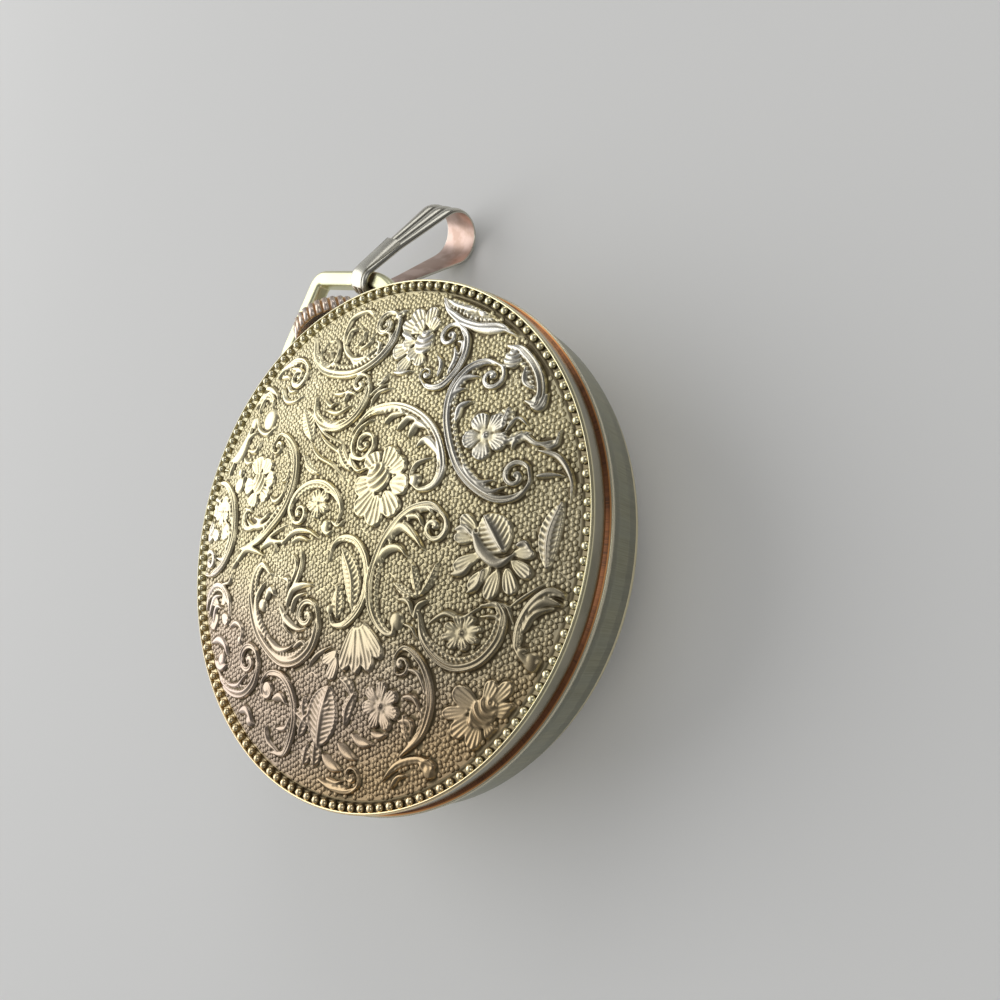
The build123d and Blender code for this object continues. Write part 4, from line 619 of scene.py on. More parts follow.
petals = [
    # the rose in the upper middle: root, tip, width
    ((3.6, 1.8), (1.7, 2.2), 1.8), ((3.5, 1.3), (1.3, 0.4), 1.9), ((3.6, 1.0), (2.3, -1.0), 1.9),
    ((4.0, 1.0), (4.3, -1.2), 1.9), ((4.4, 1.2), (5.9, 0.2), 1.8), ((4.6, 1.8), (6.2, 1.9), 1.6),
    ((4.3, 2.2), (5.7, 3.2), 1.8), ((3.8, 2.4), (3.7, 3.8), 2.0),
    # the ruffles round the veined leaf at the right
    ((9.7, -5.0), (8.9, -3.6), 1.1), ((9.6, -5.4), (8.0, -4.6), 1.0), ((9.6, -6.4), (7.3, -6.3), 1.1),
    ((9.9, -7.3), (7.8, -7.9), 1.1), ((10.2, -7.5), (8.7, -9.0), 1.2), ((10.6, -7.6), (10.3, -9.4), 1.2),
    ((10.9, -7.4), (11.8, -8.9), 1.1), ((11.1, -7.1), (12.5, -7.8), 0.9),
    # the ribbed fan below the middle
    ((-0.9, -6.2), (-3.2, -8.7), 1.4), ((-0.8, -6.3), (-2.2, -9.3), 1.4), ((-0.7, -6.3), (-1.0, -9.6), 1.5),
    ((-0.6, -6.3), (0.2, -9.2), 1.3), ((-3.2, -7.6), (-4.6, -8.8), 1.1), ((-3.0, -7.4), (-4.7, -7.6), 0.9),
    # the bottom flower
    ((5.9, -14.5), (4.6, -12.9), 1.5), ((6.1, -14.4), (7.4, -13.4), 1.1), ((6.4, -14.6), (8.4, -13.9), 1.1),
    ((6.4, -14.9), (8.0, -15.4), 1.3), ((5.9, -15.2), (6.0, -16.4), 1.2), ((5.5, -15.1), (4.3, -16.3), 1.3),
    ((5.4, -14.7), (3.4, -15.2), 1.3), ((5.4, -14.4), (3.3, -13.9), 1.0),
    # the shell above the upper right rose, and the half flower beside it
    ((9.7, 10.3), (8.6, 12.0), 1.3), ((9.9, 10.4), (9.8, 12.4), 1.5), ((10.3, 10.2), (11.2, 11.7), 1.3),
    ((8.9, 9.7), (7.2, 10.2), 1.6), ((8.8, 9.2), (7.3, 8.5), 1.3), ((14.4, 9.1), (13.3, 9.9), 0.9),
    ((14.4, 8.9), (13.4, 8.8), 0.9), ((14.6, 8.8), (14.3, 7.8), 0.9),
    # the rose at the upper right
    ((9.5, 9.4), (8.3, 9.0), 1.3), ((9.4, 9.0), (8.9, 7.9), 1.2), ((9.9, 10.2), (9.6, 11.3), 1.5),
    ((9.3, 9.9), (8.2, 10.4), 1.2), ((10.3, 9.9), (11.3, 10.6), 1.3),
    # the rose at the upper left
    ((-7.8, 8.6), (-7.5, 10.2), 2.2), ((-8.3, 8.2), (-9.6, 8.7), 1.8), ((-8.3, 7.6), (-9.2, 6.7), 1.8),
    ((-7.3, 8.4), (-6.0, 9.1), 1.7), ((-7.2, 7.8), (-5.9, 7.4), 1.6), ((-7.7, 7.4), (-7.0, 6.3), 1.8),
    # the blurred flowers at the left rim
    ((-15.0, 7.9), (-16.6, 7.9), 1.3), ((-14.7, 7.7), (-14.1, 6.4), 1.2), ((-13.1, 7.6), (-12.8, 5.8), 1.7),
    ((-13.2, 8.0), (-12.2, 9.4), 1.3), ((-13.7, 8.2), (-14.4, 9.6), 1.3),
    ((-15.3, 0.6), (-16.6, -0.2), 1.1), ((-15.0, 0.4), (-14.2, -0.7), 1.1),
    ((-15.1, 0.9), (-15.8, 2.1), 1.0), ((-14.8, 0.9), (-13.9, 1.4), 1.0),
]
flowers = [
    # centre, radius, petals, phase, rays, squash, tilt
    ((12.1, 0.45), 1.75, 5, 20, 34, 0.95, 0), ((-0.95, -11.9), 1.6, 7, 10, 36, 1.0, 0),
    ((-1.8, 2.9), 1.15, 5, 90, 16, 1.0, 0), ((6.4, -10.1), 1.5, 8, 0, 26, 0.75, -12),
    ((-12.95, 8.3), 1.2, 6, 0, 24, 1.0, 0),
]
buds = [
    # centre, radius, direction, squash
    ((15.35, 4.35), 0.7, 60, 1.0), ((14.6, 8.9), 0.45, 60, 1.0), ((3.8, 1.95), 1.12, 100, 0.95),
    ((9.8, 9.45), 0.95, 60, 0.9), ((-7.8, 8.0), 1.0, 120, 0.9), ((6.0, -14.75), 1.15, 20, 0.7),
    ((-5.6, -10.2), 0.7, 60, 0.8), ((-15.2, 7.7), 1.0, 100, 0.85),
]
knobs = [
    ((2.2, -7.6), 0.62), ((6.5, 0.25), 0.5), ((-5.75, 12.75), 0.95), ((-9.5, -1.35), 0.55),
    ((-10.4, 9.3), 0.75), ((-15.6, 7.4), 0.75), ((-12.9, 6.5), 0.6), ((9.95, -13.3), 0.6),
    ((-10.9, -7.1), 0.62), ((0.95, -16.6), 0.5), ((-13.9, -8.4), 0.5), ((-7.7, 13.7), 0.6),
    ((-10.0, 10.3), 0.45), ((-1.5, 1.0), 0.5), ((15.9, 0.9), 0.4), ((-15.9, -3.0), 0.6),
    ((-13.0, -2.6), 0.4), ((5.0, -15.0), 0.3), ((-2.9, -4.6), 0.4),
]
ridges = [
    # stems and double lines
    ([(1.6, 15.4), (0.8, 14.9), (0.7, 13.9), (1.2, 13.1), (2.1, 13.1), (2.6, 13.9), (2.4, 14.9),
      (1.7, 15.4)], 0.4),
    ([(6.2, 14.6), (5.4, 15.7), (4.2, 15.8), (3.4, 14.8), (3.2, 13.4), (3.8, 12.1), (5.0, 11.5),
      (6.4, 11.7)], 0.5), ([(3.9, 13.2), (4.6, 13.0), (5.2, 13.6), (4.8, 14.3)], 0.3),
    ([(4.3, 12.6), (5.4, 12.4), (6.0, 13.0)], 0.3),
    ([(-7.2, 13.9), (-7.1, 12.6), (-6.2, 11.6), (-5.0, 11.6)], 0.5),
    ([(1.3, 14.6), (1.8, 14.2), (1.6, 13.7)], 0.3),
    ([(-1.6, 8.2), (-1.0, 6.4), (0.2, 4.9), (0.9, 3.4)], 0.35),
    ([(-0.6, 8.4), (0.1, 6.8), (1.1, 5.3), (1.4, 3.9)], 0.35),
    ([(-0.9, 10.4), (-0.4, 8.6), (0.3, 7.3), (1.3, 6.2)], 0.3),
    ([(12.0, 11.4), (12.5, 9.8), (13.6, 8.2), (15.2, 6.8), (16.4, 6.2)], 0.8),
    ([(12.2, 11.9), (12.9, 10.6), (14.4, 8.9)], 0.4), ([(9.7, -10.0), (11.0, -9.8), (12.6, -9.6)], 0.3),
    ([(8.9, -9.3), (9.8, -9.9), (9.7, -11.0)], 0.3), ([(-3.6, -6.9), (-5.0, -6.9), (-6.2, -7.3)], 0.4),
    ([(4.4, 7.4), (5.4, 7.9), (6.6, 7.6)], 0.35), ([(5.2, 8.6), (5.9, 8.5), (6.5, 8.9)], 0.35),
    ([(4.4, 8.0), (5.2, 8.2), (6.2, 8.2)], 0.3), ([(-11.9, 10.9), (-11.0, 11.6), (-10.2, 12.4)], 0.4),
    ([(-12.9, 3.0), (-11.8, 3.3), (-10.9, 3.8)], 0.4), ([(-14.3, 2.6), (-13.2, 2.2), (-12.5, 2.9)], 0.35),
    ([(7.9, -9.7), (9.0, -10.2), (9.1, -11.1)], 0.35), ([(-6.9, -2.7), (-7.6, -3.6), (-7.2, -4.7)], 0.3),
    ([(13.1, -0.2), (14.4, 0.4), (14.9, -0.6)], 0.35),
    ([(-10.4, -1.2), (-10.5, -2.6), (-9.9, -4.2), (-8.7, -5.6), (-7.4, -6.1), (-6.2, -6.0)], 0.3),
]


# puts the whole pattern on the raster
def chase():
    relief = Relief(coverSizes["reach"] + 0.3, coverSizes["raster"])
    motifs = (
        (frond, fronds), (leaf, leaves), (petal, petals), (flower, flowers),
        (bud, buds), (knob, knobs), (ridge, ridges), (scroll, scrolls))
    for draw, places in motifs:
        for sizes in places:
            draw(relief, *sizes)
    x = np.abs(relief.start + relief.step * np.arange(relief.count))
    far = np.hypot(x[:, None], x[None, :])
    left = coverSizes["reach"] - coverSizes["fade"] - far
    relief.heights *= np.clip(left / coverSizes["fadeWidth"], 0, 1)
    print("relief drawn:", sum(len(places) for draw, places in motifs), "motifs")
    return relief


# a soft average over about that many raster steps
def blurred(values, radius):
    made = values
    for _ in range(2):
        for axis in (0, 1):
            total = np.zeros_like(made)
            for shift in range(-radius, radius + 1):
                total += np.roll(made, shift, axis)
            made = total / (2 * radius + 1)
    return made


# values of the raster at points between its places
def sampled(values, relief, x, y):
    fx = np.clip((x - relief.start) / relief.step, 0, relief.count - 1.001)
    fy = np.clip((y - relief.start) / relief.step, 0, relief.count - 1.001)
    i, j = fx.astype(int), fy.astype(int)
    u, v = fx - i, fy - j
    return ((values[j, i] * (1 - u) + values[j, i + 1] * u) * (1 - v)
            + (values[j + 1, i] * (1 - u) + values[j + 1, i + 1] * u) * v)


relief = chase()
relief.heights = blurred(relief.heights, 1)
wide = blurred(relief.heights, 8)
near = blurred(relief.heights, 3)
ground = np.clip(1 - blurred(np.where(relief.heights > 0.12, 1.0, 0.0), 1) * 2, 0, 1)  # 1 where it is bare


# champagne gold, silvery where the right side is worn, with painted shade in the hollows, towards the bottom
# and on the raised parts at the lower right, rosy wear mixed with painted shade at the lower left, and more
# painted shade on a darker copy
def embossedGold(name="embossedGold", shade=1.0, duller=0.0):
    f = Finish(name)
    place = f.place()
    height = f.attribute("relief")
    hollow = f.attribute("hollow")
    x, y, _ = f.millimetres(place)
    patch = f.noise(place, 120.0, 3.0)
    raised = f.ramp(height, 0.4, 0.75)
    colour = f.mix(f.ramp(patch, 0.35, 0.65), (0.72, 0.64, 0.40), (0.82, 0.74, 0.49))
    rightSide = f.ramp(x + patch * 6.0, 8.0, 13.0) * f.ramp(y + patch * 5.0, -9.0, -4.0)
    colour = f.mix(rightSide * raised * 0.6, colour, (0.60, 0.61, 0.66))
    colour = f.mix(f.ramp(x, -11.5, -15.5) * raised * 0.5, colour, (0.62, 0.57, 0.62))
    # painted shade on the raised parts at the lower right, the side away from the light
    lowerRightShade = f.ramp(x * 0.62 - y * 0.78 + patch * 4.0, 5.0, 13.0)
    colour = f.mix(lowerRightShade * raised * 0.6, colour, (0.34, 0.31, 0.21))
    # rosy wear mixed with painted shade at the lower left
    lowerLeftRoseAndShade = f.ramp(x * -0.62 - y * 0.78 + patch * 4.0, 5.0, 14.0)
    colour = f.mix(lowerLeftRoseAndShade * 0.75, colour, (0.60, 0.46, 0.39))
    lowest = f.ramp(y * -1.0 + patch * 2.0, 12.5, 17.0)
    colour = f.mix(lowest * 0.65, colour, (0.76, 0.52, 0.21))
    # painted shade, growing towards the bottom of the cover
    colour = f.mix(f.ramp(y * -1.0 + patch * 3.0, -3.0, 15.0) * 0.55, colour, (0.20, 0.15, 0.10))
    # painted shade in the hollows of the relief
    colour = f.mix(f.ramp(hollow, 0.28, 0.68) * 0.95, colour, (0.13, 0.10, 0.055))
    # painted shade over the whole of a darker copy of this gold
    colour = f.mix(1.0 - shade, colour, (0.10, 0.08, 0.04))
    rough = 0.30 + duller - height * 0.11 + hollow * 0.2 + patch * 0.05
    fine = f.bump(f.noise(place, 9000.0, 2.0), 0.00002, 0.25)
    return f.surface(Base_Color=colour, Metallic=1.0, Roughness=rough, Normal=fine)


# rings of triangles over a quarter of the cover: places, faces and the way round its edge
def fan(quarter, count):
    x, y, first = [], [], []
    for i in range(count + 1):
        first.append(len(x))
        radius = coverSizes["reach"] * i / count
        for k in range(2 * i + 1):
            angle = turn / 4 * (quarter + (k / (2 * i) if i else 0.5))
            x.append(radius * math.cos(angle))
            y.append(radius * math.sin(angle))
    faces = []
    for i in range(count):
        a, b = first[i], first[i + 1]
        for k in range(2 * i + 1):
            faces.append((a + k, b + k, b + k + 1))
            if k < 2 * i:
                faces.append((a + k, b + k + 1, a + k + 1))
        faces.append((a + 2 * i, b + 2 * i + 1, b + 2 * i + 2))
    rim = [first[i] for i in range(count + 1)]
    rim += [first[count] + k for k in range(1, 2 * count + 1)]
    rim += [first[i] + 2 * i for i in range(count - 1, 0, -1)]
    return np.array(x), np.array(y), faces, rim


# a quarter of the chased dome as a closed solid: a fine top, a plain inside and zipped walls
def reliefWedge(name, quarter, material):
    x, y, faces, rim = fan(quarter, coverSizes["rows"])
    height, around, close, bare = (sampled(v, relief, x, y) for v in (relief.heights, wide, near, ground))
    z = domeHeight(np.hypot(x, y)) - coverSizes["depth"] * (1 - height)
    lowX, lowY, lowFaces, lowRim = fan(quarter, coverSizes["coarse"])
    lowZ = domeHeight(np.hypot(lowX, lowY)) - coverSizes["sheet"]
    offset = len(x)
    faces += [tuple(v + offset for v in face[::-1]) for face in lowFaces]
    lowRim = [v + offset for v in lowRim]
    ratio = coverSizes["rows"] // coverSizes["coarse"]
    for k, (lowA, lowB) in enumerate(zip(lowRim, lowRim[1:] + lowRim[:1])):
        fine = [rim[(k * ratio + j) % len(rim)] for j in range(ratio + 1)]
        for j in range(ratio):
            faces.append((fine[j], lowA if j < ratio // 2 else lowB, fine[j + 1]))
        faces.append((fine[ratio // 2], lowA, lowB))
    points = np.column_stack([np.append(x, lowX), np.append(y, lowY), np.append(z, lowZ)])
    piece = newPiece(name, points.tolist(), faces, material)
    mesh = piece.data
    # how far each point lies below its surroundings, where the gold takes painted shade
    hollow = np.clip(0.25 + (around - height) * 1.7 + (close - height) * 2.2, 0, 1)
    for title, values in (("relief", height), ("hollow", hollow), ("ground", bare)):
        made = mesh.attributes.new(title, "FLOAT", "POINT")
        made.data.foreach_set("value", np.append(values, np.zeros(len(lowX))).astype(np.float32))
    ends = np.zeros(len(mesh.edges) * 2, int)
    mesh.edges.foreach_get("vertices", ends)
    border = {(min(a, b), max(a, b)) for loop in (rim, lowRim) for a, b in zip(loop, loop[1:] + loop[:1])}
    sharp = [(min(a, b), max(a, b)) in border for a, b in ends.reshape(-1, 2).tolist()]
    made = mesh.attributes.new("sharp_edge", "BOOLEAN", "EDGE")
    made.data.foreach_set("value", np.array(sharp, bool))
    return standFor("back_cover", piece)


chasedGold = embossedGold()
wedges = [reliefWedge("cover_relief_%d" % k, k, chasedGold) for k in range(4)]
print("cover relief meshed:", sum(len(w.data.polygons) for w in wedges), "faces")


# a Geometry Nodes tree with named inputs, ending in Realize Instances and Set Material
class Tree:
    def __init__(self, name, sizes):
        self.group = bpy.data.node_groups.new(name, "GeometryNodeTree")
        self.group.interface.new_socket("Geometry", in_out="OUTPUT", socket_type="NodeSocketGeometry")
        self.ids = {}
        for title, value in sizes.items():
            kind = "NodeSocketInt" if isinstance(value, int) else "NodeSocketFloat"
            socket = self.group.interface.new_socket(title, in_out="INPUT", socket_type=kind)
            socket.default_value = value
            self.ids[title] = socket.identifier
        self.sizes = sizes
        self.inputs = self.group.nodes.new("NodeGroupInput")
        self.outputs = self.group.nodes.new("NodeGroupOutput")

    def size(self, title):
        return next(s for s in self.inputs.outputs if s.name == title)

    def node(self, kind, settings=None, inputs=None):
        made = self.group.nodes.new(kind)
        for key, value in (settings or {}).items():
            setattr(made, key, value)
        for key, value in (inputs or {}).items():
            socket = made.inputs[key]
            if isinstance(value, bpy.types.NodeSocket):
                self.group.links.new(value, socket)
            else:
                socket.default_value = value
        return made

    def finish(self, name, geometry, material):
        real = self.node("GeometryNodeRealizeInstances", {}, {0: geometry})
        smooth = self.node("GeometryNodeSetShadeSmooth", {}, {0: real.outputs[0]})
        painted = self.node("GeometryNodeSetMaterial", {}, {0: smooth.outputs[0], "Material": material})
        self.group.links.new(painted.outputs[0], self.outputs.inputs[0])
        holder = bpy.data.objects.new(name + "_tree", bpy.data.meshes.new(name + "_tree"))
        bpy.context.scene.collection.objects.link(holder)
        modifier = holder.modifiers.new("Nodes", "NODES")
        modifier.node_group = self.group
        for title, value in self.sizes.items():
            modifier[self.ids[title]] = value
        shown = holder.evaluated_get(bpy.context.evaluated_depsgraph_get())
        mesh = bpy.data.meshes.new_from_object(shown)
        holder.modifiers.remove(modifier)
        bpy.data.objects.remove(holder)
        mesh.name = name
        piece = bpy.data.objects.new(name, mesh)
        bpy.context.scene.collection.objects.link(piece)
        return piece


# the row of beads round the cover, on the ring they stand on
beadSizes = {
    "Count": 135, "Ring": 17.74 * mm, "Bead": 0.29 * mm, "Height": 10.55 * mm, "Segments": 14, "Rings": 9,
}


def rimBeads(material):
    tree = Tree("rimBeads", beadSizes)
    ring = tree.node("GeometryNodeMeshCircle", {}, {
        "Vertices": tree.size("Count"), "Radius": tree.size("Ring")})
    bead = tree.node("GeometryNodeMeshUVSphere", {}, {
        "Segments": tree.size("Segments"), "Rings": tree.size("Rings"), "Radius": tree.size("Bead")})
    spread = tree.node("GeometryNodeInstanceOnPoints", {}, {
        "Points": ring.outputs[0], "Instance": bead.outputs[0]})
    lift = tree.node("ShaderNodeCombineXYZ", {}, {"Z": tree.size("Height")})
    placed = tree.node("GeometryNodeTransform", {}, {
        "Geometry": spread.outputs[0], "Translation": lift.outputs[0]})
    return tree.finish("cover_beads", placed.outputs[0], material)


# the rim and the skirt of the cover: pale gold above, olive grey down the side as a painted reflection of
# dark surroundings, and painted shade between the beads
def plainGold():
    f = Finish("coverGold")
    place = f.place()
    x, y, z = f.millimetres(place)
    tone = f.noise(place, 300.0, 3.0)
    radius = (x * x + y * y).math("SQRT")
    colour = f.mix(f.ramp(tone, 0.4, 0.7), (0.84, 0.77, 0.50), (0.78, 0.70, 0.46))
    rosy = f.ramp(x * -0.62 - y * 0.78, 6.0, 15.0)
    colour = f.mix(rosy * 0.55, colour, (0.86, 0.62, 0.34))
    # painted shade in the bed between the beads, deepest towards the lower right
    bed = f.ramp(z, 10.72, 10.58) * f.ramp(radius, 18.0, 17.94) * (f.ramp(x - y, -16.0, 8.0) * 0.7 + 0.3)
    colour = f.mix(bed * 0.9, colour, (0.13, 0.10, 0.055))
    # painted reflection of dark surroundings: olive grey down the side of the skirt
    side = f.ramp(z, 10.62, 10.5) * f.ramp(radius, 18.0, 18.1)
    olive = f.mix(f.ramp(tone, 0.35, 0.65), (0.29, 0.27, 0.20), (0.38, 0.35, 0.27))
    olive = f.mix(f.ramp(z, 9.62, 9.3) * 0.7, olive, (0.46, 0.26, 0.12))
    colour = f.mix(side, colour, olive)
    rough = 0.16 + tone * 0.14 + bed * 0.2
    fine = f.bump(f.noise(place, 4000.0, 2.0), 0.00002, 0.2)
    return f.surface(Base_Color=colour, Metallic=1.0, Roughness=rough, Normal=fine)


rimGold = plainGold()
standFor("back_cover", rimBeads(rimGold))
skirtOutline = [
    (17.28, 10.22), (17.78, 10.22), (17.80, 9.3), (18.18, 9.3), (18.18, 10.62), (18.05, 10.78),
    (17.98, 10.74), (17.95, 10.52), (17.5, 10.4), (17.40, 10.44), (17.28, 10.46),
]
standFor("back_cover", lathe("cover_skirt", rounded(skirtOutline, 0.05), rimGold))

# the punched ground between the motifs
stippleSizes = {
    "Pitch": 0.32 * mm, "Reach": 17.2 * mm, "Dot": 0.2 * mm, "Flatness": 0.42, "Jitter": 0.16 * mm,
    "Bare": 0.35, "Segments": 7, "Rings": 4, "Above": 20 * mm, "Drop": 100 * mm, "Seed": 7,
}


# loose dots on a grid, dropped onto the cover and kept where it is bare, on one side of the middle
def stipple(name, side, material):
    tree = Tree(name, dict(stippleSizes, Side=side))
    width = 2 * stippleSizes["Reach"]
    across = int(width / stippleSizes["Pitch"]) + 1

    def paired(kind, operation, first, second):
        return tree.node(kind, {"operation": operation}, {0: first, 1: second}).outputs[0]

    def compared(operation, first, second):
        made = tree.node("FunctionNodeCompare", {"operation": operation}, {"A": first, "B": second})
        return made.outputs[0]

    grid = tree.node("GeometryNodeMeshGrid", {}, {
        "Size X": width, "Size Y": width, "Vertices X": across, "Vertices Y": across})
    order = tree.node("GeometryNodeInputIndex")
    odd = paired("ShaderNodeMath", "MODULO", order.outputs[0], 2.0)
    shifted = paired("ShaderNodeMath", "MULTIPLY", odd, stippleSizes["Pitch"] / 2)
    above = tree.node("ShaderNodeCombineXYZ", {}, {"X": shifted, "Z": tree.size("Above")})
    loose = tree.node("FunctionNodeRandomValue", {"data_type": "FLOAT_VECTOR"}, {"Seed": tree.size("Seed")})
    centred = paired("ShaderNodeVectorMath", "SUBTRACT", loose.outputs[0], (0.5, 0.5, 0.5))
    jitter = tree.node("ShaderNodeVectorMath", {"operation": "SCALE"}, {
        0: centred, "Scale": tree.size("Jitter")})
    offset = paired("ShaderNodeVectorMath", "ADD", jitter.outputs[0], above.outputs[0])
    spread = tree.node("GeometryNodeSetPosition", {}, {"Geometry": grid.outputs[0], "Offset": offset})
    points = tree.node("GeometryNodeMeshToPoints", {}, {"Mesh": spread.outputs[0]})
    cover = tree.node("GeometryNodeJoinGeometry")
    for wedge in wedges:
        info = tree.node("GeometryNodeObjectInfo", {"transform_space": "ORIGINAL"}, {"Object": wedge})
        tree.group.links.new(info.outputs["Geometry"], cover.inputs[0])
    bare = tree.node("GeometryNodeInputNamedAttribute", {"data_type": "FLOAT"}, {"Name": "ground"})
    ray = tree.node("GeometryNodeRaycast", {"data_type": "FLOAT"}, {
        "Target Geometry": cover.outputs[0], "Attribute": bare.outputs[0], "Ray Direction": (0, 0, -1.0),
        "Ray Length": tree.size("Drop")})
    marked = tree.node("GeometryNodeStoreNamedAttribute", {"data_type": "FLOAT"}, {
        "Geometry": points.outputs[0], "Name": "open", "Value": ray.outputs["Attribute"]})
    dropped = tree.node("GeometryNodeSetPosition", {}, {
        "Geometry": marked.outputs[0], "Position": ray.outputs["Hit Position"]})
    place = tree.node("GeometryNodeInputPosition")
    parts = tree.node("ShaderNodeSeparateXYZ", {}, {0: place.outputs[0]})
    level = tree.node("ShaderNodeCombineXYZ", {}, {"X": parts.outputs[0], "Y": parts.outputs[1]})
    far = tree.node("ShaderNodeVectorMath", {"operation": "LENGTH"}, {0: level.outputs[0]})
    openness = tree.node("GeometryNodeInputNamedAttribute", {"data_type": "FLOAT"}, {"Name": "open"})
    sided = paired("ShaderNodeMath", "MULTIPLY", parts.outputs[0], tree.size("Side"))
    outside = compared("GREATER_THAN", far.outputs["Value"], tree.size("Reach"))
    covered = compared("LESS_THAN", openness.outputs[0], tree.size("Bare"))
    other = compared("LESS_THAN", sided, 0.0)
    unwanted = paired("FunctionNodeBooleanMath", "OR", outside, covered)
    unwanted = paired("FunctionNodeBooleanMath", "OR", unwanted, other)
    trimmed = tree.node("GeometryNodeDeleteGeometry", {"domain": "POINT"}, {
        "Geometry": dropped.outputs[0], "Selection": unwanted})
    dot = tree.node("GeometryNodeMeshUVSphere", {}, {
        "Segments": tree.size("Segments"), "Rings": tree.size("Rings"), "Radius": tree.size("Dot")})
    flat = tree.node("ShaderNodeCombineXYZ", {}, {"X": 1.0, "Y": 1.0, "Z": tree.size("Flatness")})
    placed = tree.node("GeometryNodeInstanceOnPoints", {}, {
        "Points": trimmed.outputs[0], "Instance": dot.outputs[0], "Scale": flat.outputs[0]})
    piece = tree.finish(name, placed.outputs[0], material)
    return standFor("back_cover", piece)


# the punched dots take a darker copy of the chased gold: painted shade, and a little duller
punchedGold = embossedGold("punchedGold", 0.82, 0.1)
halves = [stipple("cover_stipple_left", -1.0, punchedGold), stipple("cover_stipple_right", 1.0, punchedGold)]
dotFaces = stippleSizes["Segments"] * stippleSizes["Rings"]
print("cover rim and", sum(len(h.data.polygons) for h in halves) // dotFaces, "punched dots done")


# the other finishes
def polished(name, colour, second, rough=0.2, spread=0.12, grain=1500.0, scratch=0.15):
    f = Finish(name)
    place = f.place()
    tone = f.noise(place, 260.0, 3.0)
    fine = f.bump(f.noise(place, grain, 3.0), 0.00001, scratch)
    return f.surface(Base_Color=f.mix(f.ramp(tone, 0.3, 0.7), colour, second), Metallic=1.0,
                     Roughness=rough - spread / 2 + tone * spread, Normal=fine)


# the band is brushed up and down and darkened as a painted reflection of dark surroundings, the lip is paler
# and less metallic as a painted highlight, and the groove under the cover is darkest by the cover's edge and
# stained orange further out
def caseGold():
    f = Finish("caseGold")
    x, y, z = f.millimetres(f.place())
    angle = f.angleOf(x, y)
    radius = (x * x + y * y).math("SQRT")
    streak = f.noise(f.vector(angle * 60.0, z * 0.06, 0.0), 4.0, 4.0, 0.7)
    broad = f.noise(f.vector(angle * 6.0, z * 0.02, 3.0), 2.0, 2.0)
    band = f.ramp(z, 8.62, 8.55) * f.ramp(radius, 17.9, 18.1)
    ledge = f.ramp(z, 8.95, 8.99) * f.ramp(z, 9.4, 9.1)
    ledge = ledge * f.ramp(radius, 18.40, 18.36) * f.ramp(radius, 17.7, 17.76)
    bright = f.mix(f.ramp(streak, 0.35, 0.65), (0.84, 0.80, 0.62), (0.90, 0.85, 0.66))
    # the band: brushed streaks, darkened as a painted reflection of dark surroundings
    brushedWithPaintedReflection = f.mix(f.ramp(streak, 0.3, 0.7), (0.24, 0.24, 0.17), (0.37, 0.36, 0.26))
    brushedWithPaintedReflection = f.mix(f.ramp(broad, 0.4, 0.7) * 0.5, brushedWithPaintedReflection, (0.30, 0.31, 0.25))
    colour = f.mix(band, bright, brushedWithPaintedReflection)
    # the groove: darkest next to the cover's edge, with an orange stain further out
    grooveTone = f.mix(f.ramp(streak + broad * 0.5, 0.5, 0.9), (0.06, 0.02, 0.01), (0.30, 0.10, 0.03))
    grooveTone = f.mix(f.ramp(radius, 18.26, 18.31), grooveTone, (0.78, 0.34, 0.10))
    colour = f.mix(ledge * 0.95, colour, grooveTone)
    # painted highlight: the lip is paler and less metallic so that it reads as a bright edge
    lip = f.ramp(radius, 18.37, 18.40) * f.ramp(z, 8.78, 8.84)
    colour = f.mix(lip, colour, (0.66, 0.61, 0.44))
    rough = 0.15 + band * 0.22 + ledge * 0.15 + lip * 0.1
    fine = f.bump(streak * band, 0.00003, 0.5)
    return f.surface(Base_Color=colour, Metallic=1.0 - lip * 0.2, Roughness=rough, Normal=fine)


# sunrays, with sixty strokes and a ring printed near the edge
def silverDial():
    f = Finish("dialSilver")
    x, y, _ = f.millimetres(f.place())
    angle = f.angleOf(x, y)
    radius = (x * x + y * y).math("SQRT")
    rays = f.noise(f.vector(angle * 40.0, radius * 0.1, 0.0), 5.0, 3.0)
    marks = (angle * (60 / turn) + 200.0).math("FRACT")
    near = f.ramp((marks - 0.5).math("ABSOLUTE"), 0.42, 0.46)
    track = f.ramp(radius, 14.0, 14.04) * f.ramp(radius, 14.62, 14.58)
    circle = f.ramp((radius - 14.62).math("ABSOLUTE"), 0.05, 0.03)
    ink = (near * track).math("MAXIMUM", circle)
    colour = f.mix(f.ramp(rays, 0.3, 0.7), (0.78, 0.76, 0.70), (0.86, 0.84, 0.78))
    return f.surface(Base_Color=f.mix(ink, colour, (0.03, 0.03, 0.035)), Metallic=0.85 - ink * 0.85,
                     Roughness=0.34 + rays * 0.1)


def clearCrystal():
    f = Finish("crystalClear")
    rough = 0.02 + f.noise(f.place(), 200.0, 2.0) * 0.03
    return f.surface(Base_Color=(1.0, 1.0, 1.0), Roughness=rough, IOR=1.49, Transmission_Weight=1.0)


def rubber(name, colour):
    f = Finish(name)
    tone = f.noise(f.place(), 900.0, 3.0)
    paler = tuple(c * 1.7 for c in colour)
    return f.surface(Base_Color=f.mix(tone, colour, paler), Roughness=0.5 + tone * 0.2)


# nickel with slanting ground stripes about 2 mm apart
def stripedNickel():
    f = Finish("stripedNickel")
    x, y, _ = f.parts(f.place())
    wave = ((x * 0.766 + y * 0.643) * 520.0).math("FRACT")
    fine = f.noise(f.vector(x * 30.0, y * 30.0, 0.0), 60.0, 3.0)
    colour = f.mix(f.ramp(wave, 0.0, 1.0), (0.50, 0.49, 0.46), (0.64, 0.63, 0.59))
    bumped = f.bump(wave * 0.8 + fine * 0.2, 0.00003, 0.5)
    return f.surface(Base_Color=colour, Metallic=1.0, Roughness=0.34 + wave * 0.08, Normal=bumped)


def rubyRed():
    f = Finish("ruby")
    tone = f.noise(f.place(), 800.0, 2.0)
    colour = f.mix(tone, (0.42, 0.01, 0.05), (0.62, 0.02, 0.10))
    return f.surface(Base_Color=colour, Roughness=0.08 + tone * 0.08, Coat_Weight=1.0)


